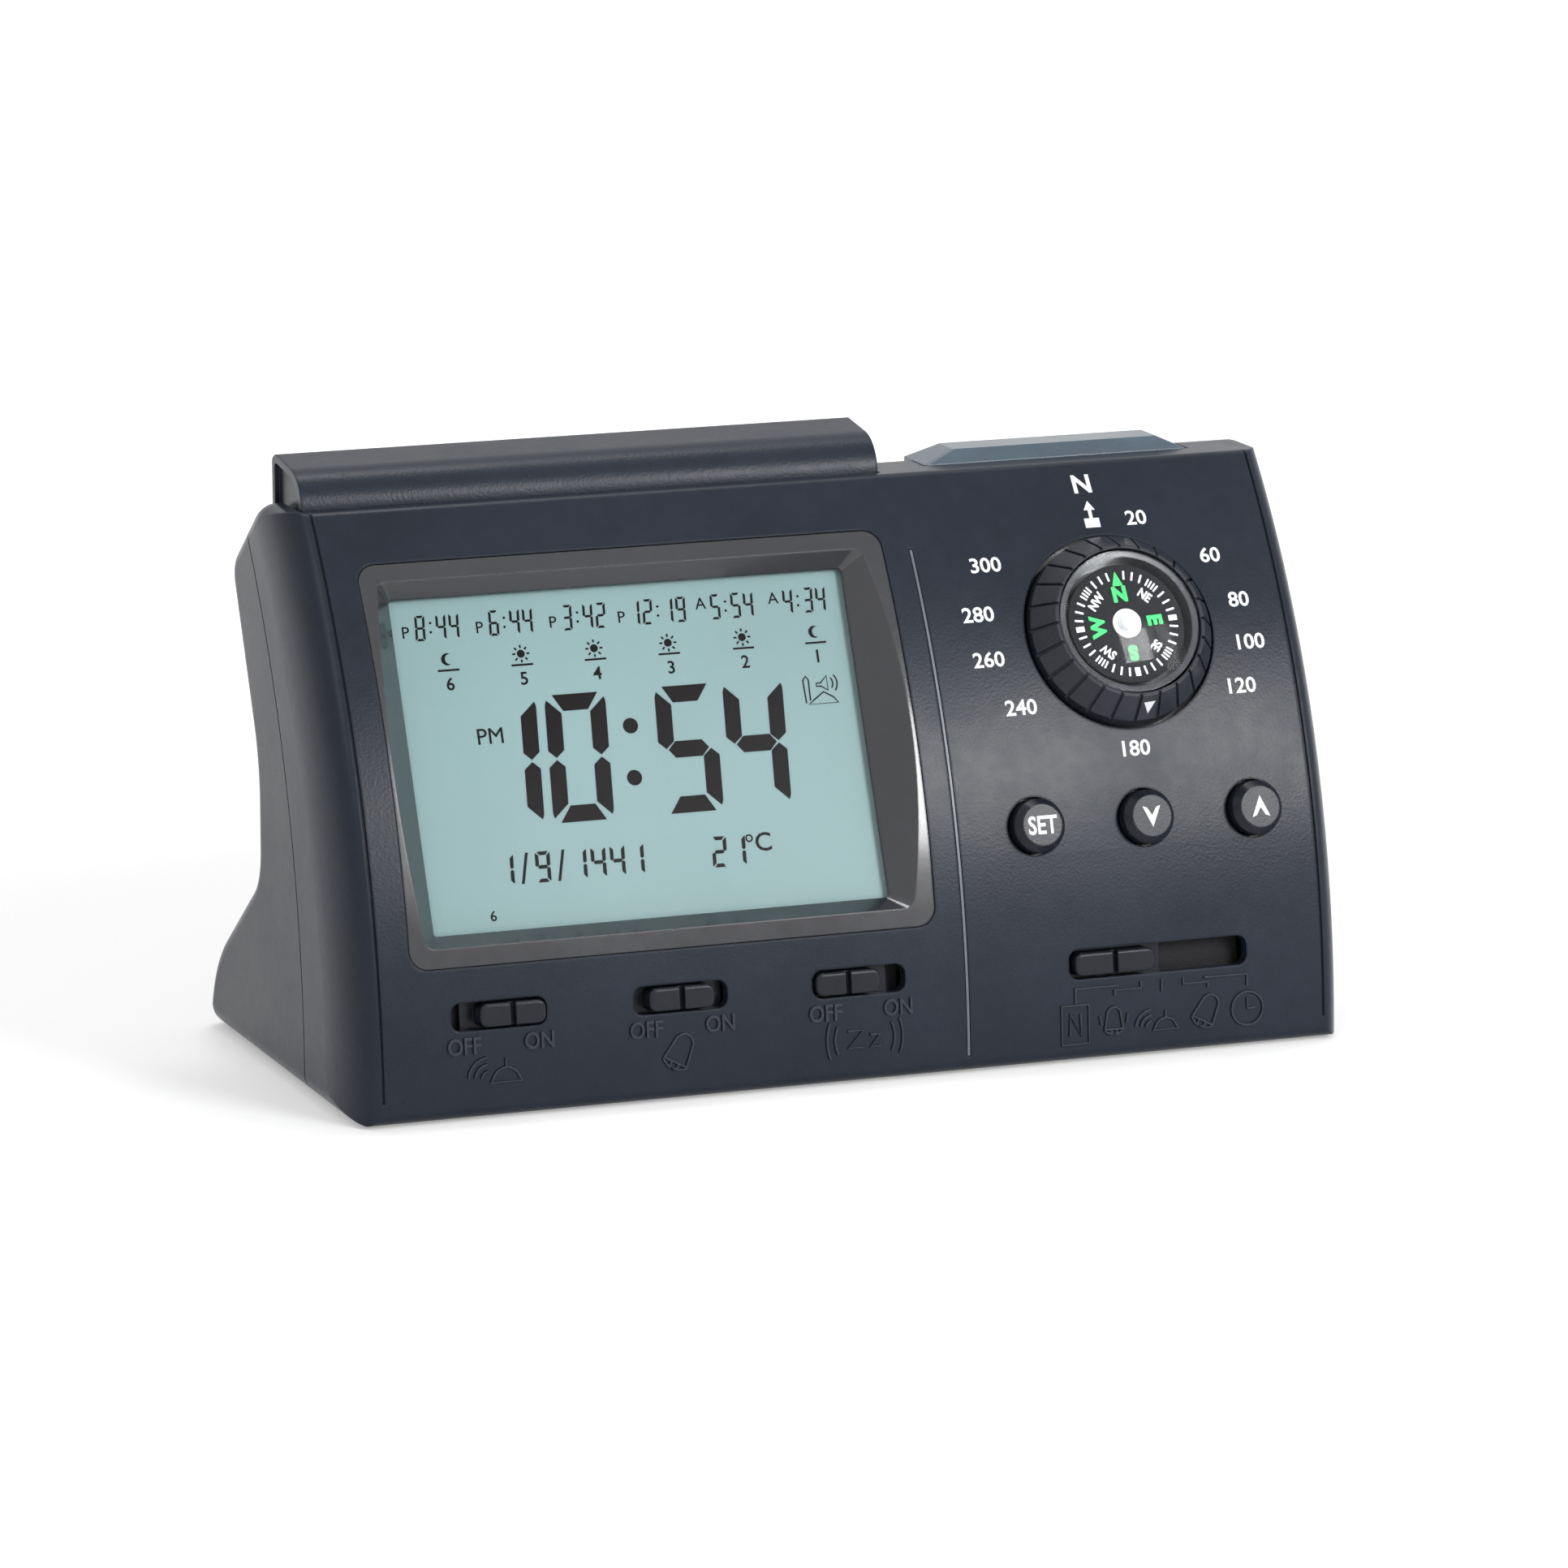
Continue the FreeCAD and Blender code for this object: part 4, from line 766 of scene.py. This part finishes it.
class CLOCK_OT_switch_marks(bpy.types.Operator):
    """Moulds the words and signs at the slide switches"""

    bl_idname = "clock.switch_marks"
    bl_label = "Switch marks"

    def execute(self, context):
        size = sizes()
        words_up = 11.6 * MM
        for number, across in enumerate((-58.0, -29.2, -0.4)):
            for word, step in (("OFF", -5.7), ("ON", 6.1)):
                bm = letters(word, size.switch_word, weight=0.015, thick=size.relief, narrow=0.86)
                bend_on_face(bm, (across + step) * MM, words_up, -size.ink)
                name = "switch_word_%d_%s" % (number, word.lower())
                piece(name, bm, "mark_plastic", "case")
        bell_tilt = -28
        moulded("dome_sign", dome_mark(), -59.2, 7.9, 1.62)
        moulded("bell_sign", bell_mark(bell_tilt), -29.7, 7.7, 1.6)
        moulded("snooze_sign", waves_mark(), 0.2, 7.2, 1.45)
        moulded("number_sign", number_mark(), 34.8, 6.2, 1.5)
        moulded("ringing_sign", ringing_mark(), 41.2, 6.2, 1.2)
        moulded("second_dome_sign", dome_mark(), 48.2, 6.0, 1.36)
        moulded("second_bell_sign", bell_mark(bell_tilt), 56.7, 6.4, 1.5)
        moulded("clock_sign", clock_mark(), 63.6, 6.3, 1.5)
        leads = [
            [(-14.1, -1.6), (-14.1, 0.6), (-6.9, 0.6)],
            [(-7.6, -0.9), (-7.6, -0.1), (-3.2, -0.1), (-3.2, 0.9)],
            [(0.3, -0.9), (0.3, 0.9)],
            [(3.9, 0.9), (3.9, -0.1), (8.0, -0.1), (8.0, -0.9)],
            [(7.4, 0.6), (14.6, 0.6), (14.6, -1.2)],
        ]
        moulded("lead_lines", leads, 49.0, 11.1)
        return {"FINISHED"}


class CLOCK_OT_dial_prints(bpy.types.Operator):
    """Prints the figures, the letter and the arrow round the compass"""

    bl_idname = "clock.dial_prints"
    bl_label = "Dial prints"

    def execute(self, context):
        self.print_mark("north_letter", letters("N", 3.2 * MM, weight=0.03), 47.8, 84.4)
        base = box(-1.25, -2.2, 1.25, -0.6)
        stem = box(-0.3, -0.6, 0.3, 1.0)
        tip = [(-0.95, 0.8), (0.95, 0.8), (0, 2.4)]
        arrow = merge([plate(mm(shape)) for shape in (base, stem, tip)])
        self.print_mark("north_arrow", arrow, 48.0, 80.1)
        places = (("20", 55.4, 79.3), ("60", 66.2, 73.4), ("80", 69.4, 66.9), ("100", 70.1, 60.8),
                  ("120", 67.4, 54.6), ("180", 48.3, 46.8), ("240", 30.3, 53.9), ("260", 26.3, 61.0),
                  ("280", 25.9, 67.4), ("300", 28.8, 74.2))
        for figures, across, up in places:
            bm = letters(figures, sizes().dial_figure, weight=0.02, narrow=1.05)
            self.print_mark("dial_" + figures, bm, across, up)
        return {"FINISHED"}

    def print_mark(self, name, bm, across, up):
        """A white mark on the front, placed in millimetres."""
        bend_on_face(bm, across * MM, up * MM)
        piece(name, bm, "white_ink", "case")


class CLOCK_OT_button_marks(bpy.types.Operator):
    """Prints the signs on the three push buttons"""

    bl_idname = "clock.button_marks"
    bl_label = "Button marks"

    def execute(self, context):
        buttons_up = 36.6 * MM
        button_high = 3.0 * MM
        down = [(0, -1.75), (1.5, 1.55), (0.75, 1.3), (0, 0.1), (-0.75, 1.3), (-1.5, 1.55)]
        signs = (
            ("set", 30.2, letters("SET", 2.9 * MM, weight=0.025, narrow=0.8)),
            ("down", 48.35, plate(mm(down))),
            ("up", 66.5, plate(mm((x, -y) for x, y in down))),
        )
        for label, across, bm in signs:
            shift(bm, z=button_high)
            bm.transform(face_place(across * MM, buttons_up))
            piece(label + "_mark", bm, "white_ink", label + "_button")
        return {"FINISHED"}


class CLOCK_OT_display(bpy.types.Operator):
    """Sets the figures and signs of the display"""

    bl_idname = "clock.display"
    bl_label = "Display"

    def execute(self, context):
        lean = 0.065
        self.hours(lean)
        self.times(lean)
        wide, high, bar, pitch = 2.35 * MM, 4.7 * MM, 0.55 * MM, 3.05 * MM
        last_row = -16.3
        glass_piece("date", small_figures("1/9/1441", wide, high, bar, pitch), -12.9, last_row, lean)
        glass_piece("warmth", small_figures("21", wide, high, bar, pitch), 12.3, last_row, lean)
        glass_piece("degree_sign", [glass_lines([arc(0, 0, 0.5, 0, 360, 12)], 0.24)], 15.8, -14.6)
        glass_piece("celsius_sign", [letters("C", 2.9 * MM, weight=0.008)], 18.0, -15.3)
        glass_piece("weekday", [letters("6", 1.6 * MM, weight=0.01)], -26.3, -23.1)
        glass_piece("alert_sign", self.alert(), 30.8, 7.4)
        return {"FINISHED"}

    def hours(self, lean):
        """The large figures with their colon and the afternoon sign."""
        size = sizes()
        high, wide, bar = size.figure_high, size.figure_wide, size.figure_bar
        gap = 0.32 * MM
        for number, (sign, left) in enumerate((("1", -25.3), ("0", -14.2), ("5", 3.4), ("4", 14.4))):
            parts = [shift(part, 0, -high / 2) for part in figure(sign, wide, high, bar, gap)]
            glass_piece("hour_figure_%d" % number, parts, left, -0.1, lean)
        colon = [shift(disc(1.2 * MM), rise * lean, rise) for rise in (-4.0 * MM, 4.0 * MM)]
        glass_piece("hour_colon", colon, -0.8, 0.1)
        glass_piece("afternoon_sign", [letters("PM", 2.4 * MM)], -22.9, 4.2)

    def times(self, lean):
        """The six small times, each over a sky sign and its number."""
        size = sizes()
        bar, pitch = 0.36 * MM, 2.05 * MM
        times_up, sky_up, numbers_up = 21.4, 16.4, 12.6
        half_up = {"P": 20.9, "A": 22.1}
        half_out = {4: 5.0, 5: 5.9}
        times = (("8:44", -28.9, "P"), ("6:44", -17.2, "P"), ("3:42", -5.5, "P"), ("12:19", 6.4, "P"),
                 ("5:54", 18.4, "A"), ("4:34", 30.2, "A"))
        for number, (signs, across, half) in enumerate(times):
            middle = across + 0.9
            parts = small_figures(signs, size.small_wide, size.small_high, bar, pitch)
            glass_piece("time_%d" % number, parts, across, times_up, lean)
            half_sign = letters(half, 1.75 * MM)
            glass_piece("half_day_%d" % number, [half_sign], across - half_out[len(signs)], half_up[half])
            order = letters(str(len(times) - number), 2.0 * MM, weight=0.012)
            glass_piece("time_number_%d" % number, [order], middle, numbers_up)
            glass_piece("sky_sign_%d" % number, self.sky(night=number in (0, 5)), middle, sky_up)

    def sky(self, night):
        """A sun or a moon over a horizon line, for the time of day."""
        if night:
            moon = arc(0, 0, 0.95, 60, 300, 12) + arc(0.45, 0, 0.82, 290, 70, 10)
            shapes = [plate(mm(moon))]
        else:
            rays = []
            for step in range(8):
                angle = math.radians(45 * step)
                rays.append([(math.cos(angle) * reach, math.sin(angle) * reach) for reach in (0.9, 1.35)])
            shapes = [disc(0.62 * MM, 16), glass_lines(rays, 0.26)]
        horizon = [(-1.7, -1.7), (1.7, -1.7)]
        return shapes + [glass_lines([horizon], 0.3)]

    def alert(self):
        """A dome with a post and a loudspeaker."""
        lines = [
            [(-2.2, -2.2), (2.6, -2.2), (1.9, -1.3), (0.4, -0.4), (-1.1, -1.4), (-2.2, -2.2)],
            [(-2.6, -2.0), (-2.7, 1.6), (-2.2, 2.2), (-1.8, 1.6), (-1.9, -1.6)],
            [(-0.6, 1.0), (0.1, 1.0), (1.2, 2.1), (1.2, -0.2), (0.1, 0.5), (-0.6, 0.5), (-0.6, 1.0)],
            arc(0.9, 0.9, 1.2, -40, 40, 5),
            arc(0.9, 0.9, 1.9, -40, 40, 5),
        ]
        return [glass_lines(lines, 0.22)]


class CLOCK_OT_compass(bpy.types.Operator):
    """Prints the compass card and marks the turning ring"""

    bl_idname = "clock.compass"
    bl_label = "Compass"

    def execute(self, context):
        for sign, heading in (("N", 0), ("E", 90), ("S", 180), ("W", 270)):
            bm = self.on_card(letters(sign, 2.5 * MM, weight=0.05), 4.75 * MM, heading)
            self.compass_piece("card_" + sign, bm, "green_ink")
        arrow = plate(mm([(-0.85, 6.1), (0.85, 6.1), (0, 8.4)]))
        self.compass_piece("card_arrow", self.on_card(arrow, 0.0, 0), "green_ink")
        for sign, heading in (("NE", 45), ("SE", 135), ("SW", 225), ("NW", 315)):
            bm = self.on_card(letters(sign, 1.5 * MM, weight=0.03, narrow=0.85), 5.75 * MM, heading)
            self.compass_piece("card_" + sign, bm, "white_ink")
        bars = []
        for heading, half, long in self.ticks():
            tick = plate(mm(box(-half, -long / 2, half, long / 2)))
            bars.append(self.on_card(tick, sizes().tick_radius, heading))
        self.compass_piece("card_ticks", merge(bars), "white_ink")
        self.compass_piece("ring_marker", self.marker(), "white_ink", "compass_ring")
        return {"FINISHED"}

    def ticks(self):
        """The heading, half width and length of every tick, in degrees and millimetres."""
        long, short = 1.35, 1.2
        thick, thin, fine = 0.42, 0.15, 0.13
        ticks = []
        for heading in range(10, 360, 10):
            if min(abs(heading - corner) for corner in CORNERS) > 5:
                ticks.append((heading, thin if heading % 90 else thick, long))
        for corner in CORNERS:
            for step in (-6, -2, 2, 6):
                ticks.append((corner + step, fine, short))
        return ticks

    def marker(self):
        """A white triangle on the ring's slope that points outwards."""
        slope = math.degrees(math.atan2(4.0, 2.7))
        out, high = 13.55 * MM, 2.9 * MM
        marker = plate(mm([(-0.95, 1.15), (0, -1.15), (0.95, 1.15)]))
        turn(marker, slope, "X")
        return turn(shift(marker, 0, -out, high), RING_TURN)

    def on_card(self, bm, out, heading):
        """Lays a mark on the card, some way out from the pin and turned to its heading."""
        return turn(shift(bm, 0, out, sizes().card_height), -heading - CARD_TURN)

    def compass_piece(self, name, bm, look, body="compass_card"):
        """A mark that turns with the compass card or with the ring."""
        bm.transform(face_place(sizes().compass_across, sizes().compass_up))
        piece(name, bm, look, body)


class CLOCK_OT_rear_parts(bpy.types.Operator):
    """Adds the battery door's grip and arrow and dresses the two cells"""

    bl_idname = "clock.rear_parts"
    bl_label = "Rear parts"

    def execute(self, context):
        size = sizes()
        place = door_place(size.door_back, size.door_up)
        ribs = [[(across, rise) for across in (-7, -3.5, 0, 3.5, 7)] for rise in (-6.6, -5.4, -4.2, -3.0)]
        grip = drape(strokes(ribs, size.mark_line, size.relief), "battery_door", place, size.ink)
        piece("door_grip", grip, "mark_plastic", "battery_door", BEAD_ANGLE)
        arrow = plate(mm([(-2.0, -1.2), (2.0, -1.2), (0, 1.6)]), size.relief)
        drape(arrow, "battery_door", place, size.ink)
        piece("door_arrow", arrow, "mark_plastic", "battery_door")
        for node, start in (("left_cell", -size.cell_long), ("right_cell", 0.0)):
            self.dress_cell(node, start, start + size.cell_long)
        return {"FINISHED"}

    def dress_cell(self, node, start, end):
        """A copper band at a cell's plus end and the two signs on its wrap."""
        size = sizes()
        foil = 0.02 * MM
        bare_end = 1.6 * MM
        plus = [(-0.4, -1.4), (0.4, -1.4), (0.4, -0.4), (1.4, -0.4), (1.4, 0.4), (0.4, 0.4), (0.4, 1.4),
                (-0.4, 1.4), (-0.4, 0.4), (-1.4, 0.4), (-1.4, -0.4), (-0.4, -0.4)]
        minus = box(-1.4, -0.4, 1.4, 0.4)
        band = sleeve(size.cell_radius, foil, size.band_long)
        shift(band, end - bare_end - size.band_long, size.cell_back, size.cell_up)
        piece(node + "_band", band, "copper_foil", "case")
        place = door_place(size.cell_back, size.cell_up)
        for label, corners, across in (("plus", plus, end - 17 * MM), ("minus", minus, start + 6 * MM)):
            sign = drape(shift(plate(mm(corners), foil), across), node, place)
            piece(node + "_" + label, sign, "white_ink", "case")


def looking(place, aim):
    """The turn of a camera or a lamp at a place that looks at its aim."""
    return (aim - place).to_track_quat("-Z", "Y").to_euler()


class CLOCK_OT_stage(bpy.types.Operator):
    """Sets the floor, the lights and the camera"""

    bl_idname = "clock.stage"
    bl_label = "Stage"

    def execute(self, context):
        scene = context.scene
        scene.view_settings.view_transform = "Standard"
        self.floor(scene)
        self.world(scene)
        self.lamp(scene, "key_light", (-0.75, -0.75, 1.05), (0, 0, 0.04), wide=0.7, high=0.7, power=2.7)
        self.lamp(scene, "fill_light", (1.1, -1.0, 0.55), (0.02, 0, 0.03), wide=0.25, high=0.7, power=1.6)
        self.lamp(scene, "top_light", (0.1, 0.25, 1.2), (0, 0, 0.05), wide=0.6, high=0.25, power=4.0)
        self.lamp(scene, "sheen_light", (0.335, -0.69, 0.375), (0.055, -0.02, 0.045), wide=0.26, high=0.26,
                  power=3.6)
        camera = bpy.data.cameras.new("camera")
        camera.lens = 184.16
        camera.sensor_width = 36.0
        camera.clip_start = 0.05
        camera.clip_end = 20.0
        holder = bpy.data.objects.new("camera", camera)
        scene.collection.objects.link(holder)
        eye = Vector((-0.43494, -1.13189, 0.30344))
        aim = Vector((-0.00339, -0.01175, 0.04187))
        holder.location = eye
        holder.rotation_euler = looking(eye, aim)
        scene.camera = holder
        return {"FINISHED"}

    def floor(self, scene):
        """A wide pale floor that shows white and keeps the shadow."""
        bm = bmesh.new()
        bmesh.ops.create_circle(bm, cap_ends=True, segments=64, radius=6.0)
        mesh = bpy.data.meshes.new("floor")
        bm.to_mesh(mesh)
        bm.free()
        made, tree, shader, _ = new_material("pale_floor")
        path = add(tree, "LightPath").outputs
        seen = calculate(tree, "ADD", path["Is Camera Ray"], path["Is Glossy Ray"], clamp=True)
        reach = add(tree, "VectorMath", {0: coordinates(tree)}, operation="LENGTH")
        away = rescale(tree, reach.outputs["Value"], 0.15, 0.8, 0.35, 1.0)
        feed(tree, shader, {"Base Color": (0.86, 0.86, 0.86, 1), "Roughness": 0.9,
                            "Specular IOR Level": 0.1, "Emission Color": (1, 1, 1, 1),
                            "Emission Strength": calculate(tree, "MULTIPLY", seen, away)})
        mesh.materials.append(made)
        floor = bpy.data.objects.new("floor", mesh)
        scene.collection.objects.link(floor)

    def world(self, scene):
        """A white surround, softer on the object than behind it."""
        world = bpy.data.worlds.new("studio")
        world.use_nodes = True
        tree = world.node_tree
        tree.nodes.clear()
        path = add(tree, "LightPath").outputs
        mirrored = calculate(tree, "ADD", path["Is Camera Ray"], path["Is Glossy Ray"])
        seen = calculate(tree, "ADD", mirrored, path["Is Transmission Ray"], clamp=True)
        power = rescale(tree, seen, 0.0, 1.0, 0.4, 1.0)
        sky = add(tree, "Background", {"Color": (1, 1, 1, 1), "Strength": power})
        add(tree, "OutputWorld", {"Surface": sky.outputs[0]})
        scene.world = world

    def lamp(self, scene, name, place, aim, wide, high, power):
        """A rectangular softbox turned towards its aim, in metres and watts."""
        light = bpy.data.lights.new(name, "AREA")
        light.shape = "RECTANGLE"
        light.size = wide
        light.size_y = high
        light.energy = power
        holder = bpy.data.objects.new(name, light)
        scene.collection.objects.link(holder)
        holder.location = place
        holder.rotation_euler = looking(Vector(place), Vector(aim))


class CLOCK_PT_panel(bpy.types.Panel):
    """Lists the steps and settings of the clock"""

    bl_idname = "CLOCK_PT_panel"
    bl_label = "Desk clock"
    bl_space_type = "VIEW_3D"
    bl_region_type = "UI"
    bl_category = "Clock"

    def draw(self, context):
        for step in STEPS:
            self.layout.operator(step.bl_idname)
        for settings in (sizes(), colours()):
            box = self.layout.box()
            for key in settings.bl_rna.properties.keys():
                if key not in ("rna_type", "name"):
                    box.prop(settings, key)


STEPS = (CLOCK_OT_finishes, CLOCK_OT_switch_marks, CLOCK_OT_dial_prints, CLOCK_OT_button_marks,
         CLOCK_OT_display, CLOCK_OT_compass, CLOCK_OT_rear_parts, CLOCK_OT_stage)
CLASSES = (ClockSizes, ClockColours, ClockSettings) + STEPS + (CLOCK_PT_panel,)


def register():
    """Registers the settings, the steps and the panel."""
    for item in CLASSES:
        bpy.utils.register_class(item)
    bpy.types.Scene.desk_clock = PointerProperty(type=ClockSettings)


def unregister():
    """Takes them away again."""
    del bpy.types.Scene.desk_clock
    for item in reversed(CLASSES):
        bpy.utils.unregister_class(item)


def main():
    """Runs every step."""
    register()
    bpy.ops.clock.finishes()
    bpy.ops.clock.switch_marks()
    bpy.ops.clock.dial_prints()
    bpy.ops.clock.button_marks()
    bpy.ops.clock.display()
    bpy.ops.clock.compass()
    bpy.ops.clock.rear_parts()
    bpy.ops.clock.stage()


if __name__ == "__main__":
    main()
